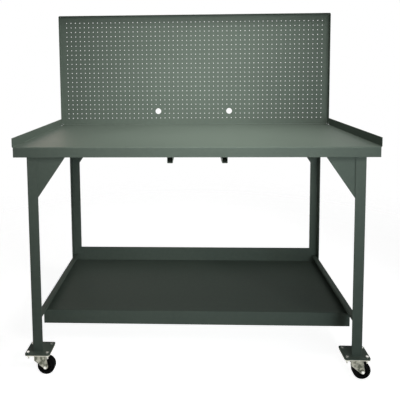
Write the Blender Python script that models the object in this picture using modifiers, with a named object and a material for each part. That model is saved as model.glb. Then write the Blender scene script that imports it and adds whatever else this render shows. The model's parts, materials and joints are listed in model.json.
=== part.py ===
"""Mobile workbench: folded steel worktop and tool panel on angle legs, low shelf, four swivel casters.

Metres, +Z up. The origin is on the floor under the middle of the bench, +X is to the
right seen from the front, and +Y points to the back. Every caster trails towards +X.
"""

from math import acos, atan2, cos, inf, pi, sin

import bmesh
import bpy
from mathutils import Matrix, Vector

# Overall sizes
bench_width = 1.524
bench_depth = 0.762
worktop_height = 1.012

# Gaps and cuts
running_gap = 0.0003
fold_relief = 0.0015
cut_overrun = 0.004

# Worktop
worktop_sheet = 0.0027
worktop_bend = 0.002
worktop_lip = 0.043
stop_height = 0.037
stop_setback = 0.008

# Tool panel
panel_height = 0.622
panel_sheet = 0.0015
panel_bend = 0.0015
panel_flange = 0.030
cable_hole_radius = 0.0165
cable_hole_spread = 0.4064
cable_hole_height = 0.0771

# Legs
leg_width = 0.045
leg_sheet = 0.0034
leg_bend = 0.0025
leg_end_inset = 0.054
leg_edge_inset = 0.022

# Gussets, measured from the inner edge of the leg and from the worktop's upper face
gusset_reach = 0.1435
gusset_drop = 0.2186
gusset_lap = 0.020
gusset_sheet = 0.0034
gusset_nip = 0.008

# Stiffening channels under the worktop
stiffener_width = 0.0237
stiffener_depth = 0.069
stiffener_sheet = 0.002
stiffener_bend = 0.0015
stiffener_spread = 0.226
stiffener_shift = 0.012
stiffener_end_gap = 0.004

# Shelf, and the rails that it hangs from
shelf_height = 0.218
shelf_sheet = 0.0027
shelf_bend = 0.002
shelf_setback = 0.170
shelf_lip = 0.064
shelf_back = 0.076
shelf_back_gap = 0.0028
rail_width = 0.0265
rail_height = 0.0335
rail_lip = 0.011
rail_sheet = 0.0027
rail_bend = 0.002

# Foot plates, and the caster plates under them: as long, flush at the front or back edge, and shallower
plate_length = 0.109
plate_depth = 0.089
plate_corner = 0.010
plate_shift = 0.0025
foot_plate_depth = 0.0955
foot_plate_sheet = 0.0048
bolt_edge = 0.0125

# Caster bolts
bolt_radius = 0.004
bolt_clearance = 0.0006
bolt_head_radius = 0.0075
bolt_head_height = 0.0053
bolt_nut_height = 0.0065
bolt_tip = 0.010

# Casters
caster_height = 0.1045
caster_plate_sheet = 0.003
race_radius = 0.022
race_height = 0.0075
race_chamfer = 0.002
kingpin_radius = 0.006
kingpin_head_radius = 0.011
kingpin_head_height = 0.004
fork_sheet = 0.0028
fork_bend = 0.0022
fork_front = 0.022
fork_back = 0.030
fork_knee = 0.028
fork_eye_radius = 0.0105
fork_side_gap = 0.0018
trail = 0.028
wheel_radius = 0.0381
wheel_width = 0.0317
tread_depth = 0.010
tread_round = 0.006
rim_inset = 0.0015
rim_depth = 0.004
web_thickness = 0.008
hub_radius = 0.012
axle_radius = 0.0047
axle_head_radius = 0.0083
axle_head_height = 0.006
axle_nut_height = 0.008
axle_tip = 0.0035

# Facets
bend_facets = 3
corner_facets = 3
small_facets = 12
pin_facets = 16
wheel_facets = 24
eye_facets = 6
tread_facets = 2
crease_turn = pi / 5

# Places that follow from the sizes
weld_distance = running_gap / 10
half_width = bench_width / 2
half_depth = bench_depth / 2
worktop_under = worktop_height - worktop_sheet
foot_plate_under = caster_height + running_gap
foot_plate_top = foot_plate_under + foot_plate_sheet
caster_plate_under = caster_height - caster_plate_sheet
leg_corner_x = half_width - leg_end_inset
leg_corner_y = half_depth - leg_edge_inset
leg_back_y = leg_corner_y - leg_sheet
leg_center_x = leg_corner_x - leg_width / 2
leg_center_y = leg_corner_y - leg_width / 2
plate_center_x = leg_center_x - plate_shift
rail_outer_x = leg_corner_x - leg_sheet - running_gap
rail_inner_x = rail_outer_x - rail_width
shelf_front_y = shelf_setback - half_depth
bolt_x = plate_length / 2 - bolt_edge
bolt_y = plate_depth / 2 - bolt_edge
race_top = caster_plate_under - running_gap
race_bottom = race_top - race_height
fork_top = race_bottom - running_gap
fork_under = fork_top - fork_sheet
fork_inner_y = wheel_width / 2 + fork_side_gap
fork_outer_y = fork_inner_y + fork_sheet

corners = {
    "front_left": (-1, -1),
    "front_right": (1, -1),
    "rear_left": (-1, 1),
    "rear_right": (1, 1),
}

# Paints and metals: base colour, roughness, metallic
finishes = {
    "bench_paint": ((0.115, 0.135, 0.112), 0.48, 0.0),
    "zinc": ((0.56, 0.55, 0.47), 0.34, 1.0),
    "yellow_zinc": ((0.47, 0.43, 0.28), 0.38, 1.0),
    "bolt_zinc": ((0.66, 0.66, 0.62), 0.30, 1.0),
    "tread": ((0.012, 0.012, 0.013), 0.60, 0.0),
    "wheel_core": ((0.020, 0.020, 0.021), 0.42, 0.0),
}


def clear_scene():
    for obj in list(bpy.data.objects):
        bpy.data.objects.remove(obj, do_unlink=True)


def new_collection(name):
    collection = bpy.data.collections.new(name)
    bpy.context.scene.collection.children.link(collection)
    return collection


def make_material(node, finish):
    color, roughness, metallic = finishes[finish]
    material = bpy.data.materials.new(f"{node}_{finish}")
    material.use_nodes = True
    shader = material.node_tree.nodes["Principled BSDF"]
    shader.inputs["Base Color"].default_value = (*color, 1)
    shader.inputs["Roughness"].default_value = roughness
    shader.inputs["Metallic"].default_value = metallic
    return material


def add_part(name, shape, finish, location=(0, 0, 0), turn=(0, 0, 0), parent=None):
    """One named piece. Pieces may share a shape, and each still has a material of its own."""
    part = bpy.data.objects.new(name, shape)
    parts.objects.link(part)
    part.location = location
    part.rotation_euler = turn
    part.parent = parent
    if not shape.materials:
        shape.materials.append(None)
    part.material_slots[0].link = "OBJECT"
    part.material_slots[0].material = make_material(name, finish)
    return part


def add_pivot(name, location, parent=None):
    pivot = bpy.data.objects.new(name, None)
    parts.objects.link(pivot)
    pivot.location = location
    pivot.parent = parent
    return pivot


# Folded sheet


def flat_sheet(width, depth, relief=0):
    """A sheet in the XY plane that faces +Z, with its corners nipped off by the relief."""
    sheet = bmesh.new()
    bmesh.ops.create_grid(sheet, x_segments=1, y_segments=1, size=1)
    bmesh.ops.scale(sheet, vec=(width / 2, depth / 2, 1), verts=sheet.verts)
    if relief:
        bmesh.ops.bevel(sheet, geom=sheet.verts[:], offset=relief, segments=1, affect="VERTICES")
    return sheet


def split_sheet(sheet, axis, value):
    """Divides the sheet across an axis, so that only one part of an edge can be folded."""
    normal = Vector((axis == 0, axis == 1, 0))
    everything = sheet.verts[:] + sheet.edges[:] + sheet.faces[:]
    bmesh.ops.bisect_plane(sheet, geom=everything, plane_co=normal * value, plane_no=normal)


def flat_edges(sheet, axis, value, low=-inf, high=inf):
    """The edges of the flat that lie at a value of one axis, between two values of the other."""
    found = []
    for edge in sheet.edges:
        ends = [vert.co for vert in edge.verts]
        middle = (ends[0] + ends[1]) / 2
        on_line = all(abs(end[axis] - value) < running_gap and abs(end.z) < running_gap for end in ends)
        if on_line and low < middle[1 - axis] < high:
            found.append(edge)
    return found


def run_on(sheet, edges, step):
    """Carries the sheet on from some of its edges, straight along the step."""
    grown = bmesh.ops.extrude_edge_only(sheet, edges=edges)["geom"]
    moved = [item for item in grown if isinstance(item, bmesh.types.BMVert)]
    bmesh.ops.translate(sheet, verts=moved, vec=step)


def fold(sheet, edges, outward, side, radius, height):
    """Bends the sheet at its edges up (side 1) or down (side -1) until it stands height from the flat."""
    toward = Vector((0, 0, side))
    center = edges[0].verts[0].co + toward * radius
    swept = bmesh.ops.spin(
        sheet, geom=edges, cent=center, axis=Vector(outward).cross(toward), angle=pi / 2, steps=bend_facets
    )
    ends = [item for item in swept["geom_last"] if isinstance(item, bmesh.types.BMEdge)]
    run_on(sheet, ends, toward * (height - radius))


def finish_sheet(sheet, name):
    """The folded sheet as a mesh, facing the way its flat was made, that is +Z."""
    bmesh.ops.remove_doubles(sheet, verts=sheet.verts, dist=weld_distance)
    bmesh.ops.recalc_face_normals(sheet, faces=sheet.faces)
    flat = max(sheet.faces, key=lambda face: face.calc_area() * abs(face.normal.z))
    if flat.normal.z < 0:
        bmesh.ops.reverse_faces(sheet, faces=sheet.faces)
    mesh = bpy.data.meshes.new(name)
    sheet.to_mesh(mesh)
    sheet.free()
    return mesh


def thicken(part, thickness):
    """Gives a folded sheet its thickness, on the side away from the way it faces."""
    solidify = part.modifiers.new("sheet_thickness", "SOLIDIFY")
    solidify.thickness = thickness
    solidify.offset = -1
    solidify.use_even_offset = True


def drill(part, radius, depth, facets, location, turn=(0, 0, 0), parent=None):
    """Cuts a round hole through a part, along the local Z of the cutter."""
    tool = bmesh.new()
    bmesh.ops.create_cone(
        tool, cap_ends=True, segments=facets, radius1=radius, radius2=radius, depth=depth + 2 * cut_overrun
    )
    mesh = bpy.data.meshes.new(f"{part.name}_hole")
    tool.to_mesh(mesh)
    tool.free()
    cutter = bpy.data.objects.new(mesh.name, mesh)
    cutters.objects.link(cutter)
    cutter.location = location
    cutter.rotation_euler = turn
    cutter.parent = parent
    cutter.hide_render = True
    cutter.display_type = "WIRE"
    hole = part.modifiers.new(mesh.name, "BOOLEAN")
    hole.operation = "DIFFERENCE"
    hole.solver = "EXACT"
    hole.object = cutter


# Plates, turned pieces and bolts


def circle(x, y, radius, facets):
    turns = [2 * pi * step / facets for step in range(facets)]
    return [(x + radius * cos(turn), y + radius * sin(turn)) for turn in turns]


def rounded_rectangle(width, depth, corner):
    points = []
    for quarter, (side_x, side_y) in enumerate(((1, 1), (-1, 1), (-1, -1), (1, -1))):
        center_x = side_x * (width / 2 - corner)
        center_y = side_y * (depth / 2 - corner)
        for step in range(corner_facets + 1):
            turn = pi / 2 * (quarter + step / corner_facets)
            points.append((center_x + corner * cos(turn), center_y + corner * sin(turn)))
    return points


def plate_shape(name, outlines, thickness):
    """A flat plate about the XY plane: its edge comes first, and the other outlines are holes."""
    shape = bpy.data.curves.new(name, "CURVE")
    shape.dimensions = "2D"
    shape.fill_mode = "BOTH"
    shape.extrude = thickness / 2
    for outline in outlines:
        spline = shape.splines.new("POLY")
        spline.points.add(len(outline) - 1)
        spline.use_cyclic_u = True
        for point, (x, y) in zip(spline.points, outline):
            point.co = (x, y, 0, 1)
    return shape


def shade_round(mesh):
    mesh.shade_smooth()
    mesh.set_sharp_from_angle(angle=crease_turn)


def turned_mesh(name, points, facets, closed=False):
    """Turns a profile about Z: points of a radius and a height, from the top down its outer side."""
    chain = bmesh.new()
    verts = [chain.verts.new((radius, 0, height)) for radius, height in points]
    for start, end in zip(verts, verts[1:]):
        chain.edges.new((start, end))
    if closed:
        chain.edges.new((verts[-1], verts[0]))
    profile = bpy.data.meshes.new(f"{name}_profile")
    chain.to_mesh(profile)
    chain.free()
    holder = bpy.data.objects.new(profile.name, profile)
    cutters.objects.link(holder)
    screw = holder.modifiers.new("turned", "SCREW")
    screw.axis = "Z"
    screw.steps = facets
    screw.render_steps = facets
    screw.use_merge_vertices = True
    screw.merge_threshold = weld_distance
    graph = bpy.context.evaluated_depsgraph_get()
    mesh = bpy.data.meshes.new_from_object(holder.evaluated_get(graph))
    mesh.name = name
    bpy.data.objects.remove(holder)
    bpy.data.meshes.remove(profile)
    shade_round(mesh)
    return mesh


def ringed_solid(name, rings):
    """A closed solid up +Z through rings of a height and a radius; some of them are hexagons."""
    solid = bmesh.new()
    layers = []
    for height, radius, is_hexagon in rings:
        layer = bmesh.ops.create_circle(solid, segments=small_facets, radius=radius)["verts"]
        for index, vert in enumerate(layer):
            across = cos(pi / 6) if is_hexagon and index % 2 else 1
            vert.co = (vert.co.x * across, vert.co.y * across, height)
        layers.append(layer)
    for lower, upper in zip(layers, layers[1:]):
        for index in range(small_facets):
            solid.faces.new((lower[index - 1], lower[index], upper[index], upper[index - 1]))
    bmesh.ops.holes_fill(solid, edges=solid.edges)
    bmesh.ops.recalc_face_normals(solid, faces=solid.faces)
    mesh = bpy.data.meshes.new(name)
    solid.to_mesh(mesh)
    solid.free()
    shade_round(mesh)
    return mesh


# The bench


def make_worktop():
    outer = worktop_bend + worktop_sheet
    flat_x = half_width - outer
    flat_y = half_depth - outer
    stop_end = half_depth - panel_flange - stop_setback
    sheet = flat_sheet(2 * flat_x, 2 * flat_y, fold_relief)
    split_sheet(sheet, 1, stop_end)
    for side in (-1, 1):
        fold(sheet, flat_edges(sheet, 1, side * flat_y), (0, side, 0), -1, outer, worktop_lip)
    for side in (-1, 1):
        edges = flat_edges(sheet, 0, side * flat_x, high=stop_end)
        fold(sheet, edges, (side, 0, 0), 1, worktop_bend, stop_height)
    location = (0, 0, worktop_height)
    thicken(add_part("worktop", finish_sheet(sheet, "worktop"), "bench_paint", location), worktop_sheet)


def make_panel():
    outer = panel_bend + panel_sheet
    flat_x = half_width - outer
    flat_z = panel_height / 2 - outer
    sheet = flat_sheet(2 * flat_x, 2 * flat_z, fold_relief)
    for side in (-1, 1):
        fold(sheet, flat_edges(sheet, 1, side * flat_z), (0, side, 0), -1, outer, panel_flange)
        fold(sheet, flat_edges(sheet, 0, side * flat_x), (side, 0, 0), -1, outer, panel_flange)
    foot = worktop_height + running_gap
    location = (0, half_depth, foot + panel_height / 2)
    turn = (-pi / 2, 0, 0)
    panel = add_part("pegboard_panel", finish_sheet(sheet, "panel"), "bench_paint", location, turn)
    thicken(panel, panel_sheet)
    for side in (-1, 1):
        place = (side * cable_hole_spread / 2, half_depth - panel_sheet / 2, foot + cable_hole_height)
        drill(panel, cable_hole_radius, panel_sheet, pin_facets, place, turn)


def make_legs():
    outer = leg_bend + leg_sheet
    bottom = foot_plate_top + running_gap
    top = worktop_under - running_gap
    flat_x = (leg_width - outer) / 2
    sheet = flat_sheet(2 * flat_x, top - bottom)
    fold(sheet, flat_edges(sheet, 0, flat_x), (1, 0, 0), -1, outer, leg_width)
    mesh = finish_sheet(sheet, "leg")
    mesh.transform(Matrix.Translation((-outer / 2, 0, leg_width / 2)))
    for corner, (side_x, side_y) in corners.items():
        location = (side_x * leg_center_x, side_y * leg_center_y, (top + bottom) / 2)
        turn = atan2(side_y, side_x) + pi / 4
        leg = add_part(f"leg_{corner}", mesh, "bench_paint", location, (pi / 2, 0, turn))
        thicken(leg, leg_sheet)


def make_gussets():
    """Each lies on the inner face of its leg's front or back flange, and reaches towards the middle."""
    top = worktop_under - running_gap
    foot = worktop_height - gusset_drop
    outline = [
        (gusset_lap, top),
        (-gusset_reach, top),
        (-gusset_reach, top - gusset_nip),
        (0, foot),
        (gusset_lap, foot),
    ]
    shape = plate_shape("gusset", [outline], gusset_sheet)
    for corner, (side_x, side_y) in corners.items():
        x = side_x * (leg_corner_x - leg_width)
        y = side_y * (leg_back_y - running_gap - gusset_sheet / 2)
        turn = (pi / 2, 0, 0 if side_x > 0 else pi)
        add_part(f"gusset_{corner}", shape, "bench_paint", (x, y, 0), turn)


def make_stiffeners():
    outer = stiffener_bend + stiffener_sheet
    flat_x = stiffener_width / 2 - outer
    length = bench_depth - 2 * (worktop_sheet + stiffener_end_gap)
    top = worktop_under - running_gap
    under = worktop_height - stiffener_depth
    sheet = flat_sheet(2 * flat_x, length)
    for side in (-1, 1):
        fold(sheet, flat_edges(sheet, 0, side * flat_x), (side, 0, 0), -1, outer, top - under)
    mesh = finish_sheet(sheet, "stiffener")
    for name, side in (("stiffener_left", -1), ("stiffener_right", 1)):
        x = stiffener_shift + side * stiffener_spread / 2
        stiffener = add_part(name, mesh, "bench_paint", (x, 0, under), (pi, 0, 0))
        thicken(stiffener, stiffener_sheet)


def make_shelf():
    """The floor runs out under the rails to the legs, and the back lip stands between the rails."""
    outer = shelf_bend + shelf_sheet
    half_back = rail_inner_x - shelf_back_gap
    front = shelf_front_y + outer
    back = leg_back_y - running_gap - outer
    depth = back - front
    sheet = flat_sheet(2 * rail_outer_x, depth)
    for side in (-1, 1):
        split_sheet(sheet, 0, side * half_back)
    fold(sheet, flat_edges(sheet, 1, -depth / 2), (0, -1, 0), -1, outer, shelf_lip)
    edges = flat_edges(sheet, 1, depth / 2, -half_back, half_back)
    fold(sheet, edges, (0, 1, 0), 1, shelf_bend, shelf_back)
    location = (0, (front + back) / 2, shelf_height)
    thicken(add_part("shelf", finish_sheet(sheet, "shelf"), "bench_paint", location), shelf_sheet)


def make_rail(name, side_x):
    """A channel open downwards: its outer side stands on the shelf's floor, against both legs."""
    outer = rail_bend + rail_sheet
    flat_x = rail_width / 2 - outer
    half_length = leg_back_y - leg_bend - running_gap
    sheet = flat_sheet(2 * flat_x, 2 * half_length)
    for side, drop in ((side_x, rail_height - running_gap), (-side_x, rail_lip)):
        fold(sheet, flat_edges(sheet, 0, side * flat_x), (side, 0, 0), -1, outer, drop)
    location = (side_x * (rail_outer_x - rail_width / 2), 0, shelf_height + rail_height)
    thicken(add_part(name, finish_sheet(sheet, name), "bench_paint", location), rail_sheet)


def make_foot_plates():
    """Each is drawn about its caster's axis as a front plate; a rear one is that plate turned round."""
    inward = (foot_plate_depth - plate_depth) / 2
    edge = rounded_rectangle(plate_length, foot_plate_depth, plate_corner)
    outline = [(x, y + inward) for x, y in edge]
    shape = plate_shape("foot_plate", [outline, *bolt_holes()], foot_plate_sheet)
    for corner, (side_x, side_y) in corners.items():
        location = (side_x * plate_center_x, side_y * leg_center_y, foot_plate_top - foot_plate_sheet / 2)
        turn = (0, 0, 0 if side_y < 0 else pi)
        add_part(f"foot_plate_{corner}", shape, "bench_paint", location, turn)


def bolt_places():
    return [(side_x * bolt_x, side_y * bolt_y) for side_y in (-1, 1) for side_x in (-1, 1)]


def bolt_holes():
    return [circle(x, y, bolt_radius + bolt_clearance, small_facets) for x, y in bolt_places()]


# The casters


def caster_plate_shape():
    outline = rounded_rectangle(plate_length, plate_depth, plate_corner)
    eye = circle(0, 0, kingpin_radius + running_gap, pin_facets)
    return plate_shape("caster_plate", [outline, *bolt_holes(), eye], caster_plate_sheet)


def bolt_mesh():
    """Head on the foot plate, nut under the caster plate, and the end of the thread below the nut."""
    head = foot_plate_top + running_gap
    nut = caster_plate_under - running_gap
    rings = [
        (nut - bolt_nut_height - bolt_tip, bolt_radius, False),
        (nut - bolt_nut_height, bolt_radius, False),
        (nut - bolt_nut_height, bolt_head_radius, True),
        (nut, bolt_head_radius, True),
        (nut, bolt_radius, False),
        (head, bolt_radius, False),
        (head, bolt_head_radius, True),
        (head + bolt_head_height, bolt_head_radius, True),
    ]
    return ringed_solid("caster_bolt", rings)


def kingpin_mesh():
    """Down the outside: pin through the caster plate, race, pin through the fork, riveted head."""
    head_top = fork_under - running_gap
    head_bottom = head_top - kingpin_head_height
    points = [
        (0, caster_height),
        (kingpin_radius, caster_height),
        (kingpin_radius, race_top),
        (race_radius, race_top),
        (race_radius, race_bottom + race_chamfer),
        (race_radius - race_chamfer, race_bottom),
        (kingpin_radius, race_bottom),
        (kingpin_radius, head_top),
        (kingpin_head_radius, head_top),
        (kingpin_radius, head_bottom),
        (0, head_bottom),
    ]
    return turned_mesh("kingpin", points, pin_facets)


def fork_mesh():
    """A yoke folded from sheet; its sides are cut to run from the top to a round eye at the axle."""
    outer = fork_bend + fork_sheet
    flat_y = fork_outer_y - outer
    eye = Vector((trail, wheel_radius))
    knee = Vector((-fork_front, fork_top - fork_knee))
    shoulder = Vector((fork_back, fork_top))
    reach = trail + fork_eye_radius
    sheet = flat_sheet(fork_front + reach, 2 * flat_y)
    bmesh.ops.translate(sheet, verts=sheet.verts, vec=((reach - fork_front) / 2, 0, 0))
    for side in (-1, 1):
        edges = flat_edges(sheet, 1, side * flat_y)
        fold(sheet, edges, (0, side, 0), -1, outer, fork_top - eye.y + fork_eye_radius)
    bmesh.ops.translate(sheet, verts=sheet.verts, vec=(0, 0, fork_top))
    first = tangent_turn(knee - eye, fork_eye_radius, 1)
    last = tangent_turn(shoulder - eye, fork_eye_radius, -1) + 2 * pi
    for step in range(eye_facets + 1):
        turn = first + (last - first) * step / eye_facets
        normal = Vector((cos(turn), 0, sin(turn)))
        point = Vector((eye.x, 0, eye.y)) + normal * fork_eye_radius
        everything = sheet.verts[:] + sheet.edges[:] + sheet.faces[:]
        bmesh.ops.bisect_plane(sheet, geom=everything, plane_co=point, plane_no=normal, clear_outer=True)
    return finish_sheet(sheet, "fork")


def tangent_turn(away, radius, side):
    """The direction from a circle's centre to where a line from a point away from it touches it."""
    return atan2(away.y, away.x) + side * acos(radius / away.length)


def axle_mesh():
    """Bolt head at the front of the fork, nut and thread end at the back."""
    face = fork_outer_y + running_gap
    rings = [
        (-face - axle_head_height, axle_head_radius, True),
        (-face, axle_head_radius, True),
        (-face, axle_radius, False),
        (face, axle_radius, False),
        (face, axle_head_radius, True),
        (face + axle_nut_height, axle_head_radius, True),
        (face + axle_nut_height, axle_radius, False),
        (face + axle_nut_height + axle_tip, axle_radius, False),
    ]
    return ringed_solid("axle", rings)


def tyre_mesh():
    half = wheel_width / 2
    seat = wheel_radius - tread_depth
    turns = [pi / 2 * step / tread_facets for step in range(tread_facets + 1)]
    across = [wheel_radius - tread_round + tread_round * sin(turn) for turn in turns]
    along = [half - tread_round + tread_round * cos(turn) for turn in turns]
    upper = list(zip(across, along))
    lower = [(radius, -height) for radius, height in reversed(upper)]
    return turned_mesh("tyre", [(seat, half), *upper, *lower, (seat, -half)], wheel_facets, closed=True)


def wheel_core_mesh():
    """Rim, web and hub in one, with the hub's bore round the axle."""
    rim = wheel_radius - tread_depth - running_gap
    rim_half = wheel_width / 2 - rim_inset
    web_half = web_thickness / 2
    hub_half = fork_inner_y - running_gap
    bore = axle_radius + running_gap
    upper = [
        (bore, hub_half),
        (hub_radius, hub_half),
        (hub_radius, web_half),
        (rim - rim_depth, web_half),
        (rim - rim_depth, rim_half),
        (rim, rim_half),
    ]
    lower = [(radius, -height) for radius, height in reversed(upper)]
    return turned_mesh("wheel_core", upper + lower, wheel_facets, closed=True)


def make_casters():
    plate = caster_plate_shape()
    bolt = bolt_mesh()
    kingpin = kingpin_mesh()
    fork = fork_mesh()
    axle = axle_mesh()
    tyre = tyre_mesh()
    core = wheel_core_mesh()
    lengthwise = (-pi / 2, 0, 0)
    for corner, (side_x, side_y) in corners.items():
        center = Vector((side_x * plate_center_x, side_y * leg_center_y, 0))
        middle = center + Vector((0, 0, caster_height - caster_plate_sheet / 2))
        add_part(f"caster_plate_{corner}", plate, "zinc", middle)
        add_part(f"kingpin_{corner}", kingpin, "zinc", center)
        for number, (x, y) in enumerate(bolt_places(), start=1):
            add_part(f"caster_bolt_{corner}_{number}", bolt, "bolt_zinc", center + Vector((x, y, 0)))
        swivel = add_pivot(f"swivel_{corner}", center)
        spin = add_pivot(f"spin_{corner}", (trail, 0, wheel_radius), swivel)
        yoke = add_part(f"fork_{corner}", fork, "yellow_zinc", parent=swivel)
        thicken(yoke, fork_sheet)
        drill(yoke, kingpin_radius + running_gap, fork_sheet, pin_facets, (0, 0, fork_top), parent=swivel)
        drill(yoke, axle_radius + running_gap, 2 * fork_outer_y, small_facets, (0, 0, 0), lengthwise, spin)
        add_part(f"axle_{corner}", axle, "bolt_zinc", (0, 0, 0), lengthwise, spin)
        add_part(f"wheel_core_{corner}", core, "wheel_core", (0, 0, 0), lengthwise, spin)
        add_part(f"tyre_{corner}", tyre, "tread", (0, 0, 0), lengthwise, spin)


clear_scene()
parts = new_collection("mobile_workbench")
cutters = new_collection("cutters")
make_worktop()
make_panel()
make_legs()
make_gussets()
make_stiffeners()
make_shelf()
make_rail("side_rail_left", -1)
make_rail("side_rail_right", 1)
make_foot_plates()
make_casters()
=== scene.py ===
"""Looks of a mobile workbench: folded and welded steel in grey-green enamel, with a perforated
tool panel, a low shelf and four swivel casters.

Run as a script in Blender. Metres, +Z up, +X to the right seen from the front, +Y to the back.
"""

import json
from math import acos, atan2, cos, inf, pi, radians, sin

import bmesh
import bpy
from bpy.props import FloatProperty, FloatVectorProperty, IntProperty, PointerProperty
from bpy.types import Operator, Panel, PropertyGroup
from mathutils import Euler, Matrix, Vector


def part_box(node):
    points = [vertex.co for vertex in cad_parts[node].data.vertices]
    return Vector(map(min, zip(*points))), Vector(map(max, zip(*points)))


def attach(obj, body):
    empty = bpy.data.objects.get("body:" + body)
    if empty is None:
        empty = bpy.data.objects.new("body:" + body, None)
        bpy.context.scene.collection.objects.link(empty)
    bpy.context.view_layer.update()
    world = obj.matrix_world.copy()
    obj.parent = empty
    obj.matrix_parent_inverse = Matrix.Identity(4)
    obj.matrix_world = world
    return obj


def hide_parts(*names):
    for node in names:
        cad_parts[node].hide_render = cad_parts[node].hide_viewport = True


bl_info = {
    "name": "Mobile Workbench",
    "version": (1, 0, 0),
    "blender": (4, 5, 0),
    "location": "3D View > Sidebar > Workbench",
    "description": "Builds a steel workbench with a tool panel, a shelf and swivel casters",
    "category": "Object",
}

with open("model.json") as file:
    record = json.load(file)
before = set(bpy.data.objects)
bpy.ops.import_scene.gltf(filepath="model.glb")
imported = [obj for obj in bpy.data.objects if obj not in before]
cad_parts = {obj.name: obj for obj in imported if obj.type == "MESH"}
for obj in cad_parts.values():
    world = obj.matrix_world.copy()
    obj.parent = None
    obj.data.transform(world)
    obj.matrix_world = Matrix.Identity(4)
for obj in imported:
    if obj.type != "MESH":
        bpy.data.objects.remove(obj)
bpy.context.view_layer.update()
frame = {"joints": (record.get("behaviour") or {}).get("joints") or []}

corners = {
    "front_left": (-1, -1),
    "front_right": (1, -1),
    "rear_left": (-1, 1),
    "rear_right": (1, 1),
}
joint_places = {joint["name"]: Vector(joint["pos_m"]) for joint in frame["joints"]}

# Facets of the finished shapes
bend_facets = 8
corner_facets = 6
peg_facets = 12
bore_facets = 24
pin_facets = 32
wheel_facets = 64
eye_facets = 16
bead_facets = 8
edge_facets = 2

# Turns between faces: flat ones merge, sharp ones stay sharp, and square ones are rounded
flat_turn = radians(1)
sharp_turn = radians(40)
square_turn = radians(60)

# Doubles lie closer than a clearance divided by this
merge_divisor = 10

# How worn the finish is on a bend, where a rounded edge has 1
bend_wear = 0.25

# A hexagon's far corners are cut by planes that lean to either side, this many times as steep
hex_lean = radians(12)
hex_steepness = 3.0

# Weld beads
steps_per_ripple = 4
ripple_share = 0.16
bead_end_share = 0.35
fine_bead_share = 0.5
seam_share = 0.56
tack_length = 0.012
stitch_length = 0.032
gusset_stitch_shares = (0.38, 0.86)
channel_stitch_shares = (0.06, 0.35, 0.65, 0.94)

# Finishes: fine clouds to wide ones, zinc crystals to clouds, and the dust on the mouldings
fine_ratio = 14.0
crystal_ratio = 2.5
dust_color = (0.030, 0.029, 0.027, 1)

# Camera, as fitted to the photograph's edges
camera_place = (-0.0075, -2.2289, 1.3329)
camera_down = radians(4.449)
camera_left = radians(2.063)
camera_roll = radians(0.477)
lens_mm = 40.964
sensor_mm = 36.0
shift_across = 0.0601
shift_up = -0.2398

# Colours of the softboxes, and the softboxes, with their spread in degrees
daylight = (1.0, 1.0, 0.98)
cool = (0.82, 0.94, 1.0)
warm = (1.0, 0.76, 0.62)
small_box = (0.9, 0.9)
side_box = (1.2, 0.8)
lamps = {
    "front": dict(
        place=(0.0, -2.6, 1.6), target=(0, 0.38, 1.3), size=small_box,
        power=3.4, color=daylight, spread=50,
    ),
    "overhead": dict(
        place=(0.5, -0.3, 2.5), target=(-0.05, 0, 1.0), size=small_box,
        power=7.6, color=daylight, spread=80,
    ),
    "cross": dict(
        place=(1.6, -2.0, 2.4), target=(-0.3, 0.2, 1.1), size=small_box,
        power=3.6, color=daylight, spread=50,
    ),
    "low": dict(
        place=(1.1, -2.7, 0.9), target=(0.1, 0, 0.75), size=small_box,
        power=3.3, color=cool, spread=70,
    ),
    "glare": dict(
        place=(-2.0, 2.2, 1.5), target=(-0.7, -0.3, 1.0), size=(1.8, 1.0),
        power=0.85, color=warm, spread=36,
    ),
    "rear": dict(
        place=(-0.5, 2.8, 0.6), target=(0, 0.38, 1.2), size=(1.6, 0.9),
        power=1.2, color=daylight, spread=60,
    ),
    "left": dict(
        place=(-3.0, 0.5, 0.5), target=(-0.76, 0.1, 0.8), size=side_box,
        power=0.7, color=daylight, spread=60,
    ),
    "right": dict(
        place=(3.0, 0.5, 0.5), target=(0.76, 0.1, 0.8), size=side_box,
        power=0.5, color=daylight, spread=60,
    ),
}

# Strength of the white world as light, and of the floor as it is seen
white = (1, 1, 1, 1)
world_glow = 0.04
seen_floor = 0.9
floor_color = (0.78, 0.78, 0.77, 1)
floor_radius = 3.2
fade_start_share = 0.4
floor_facets = 96


# What a user can change


def length(name, description, default):
    return FloatProperty(
        name=name, description=description, default=default, min=0, precision=4, unit="LENGTH"
    )


def share(name, description, default):
    return FloatProperty(name=name, description=description, default=default, min=0, max=1, subtype="FACTOR")


def tint(name, description, default):
    return FloatVectorProperty(
        name=name, description=description, default=default, size=3, min=0, max=1, subtype="COLOR"
    )


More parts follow.
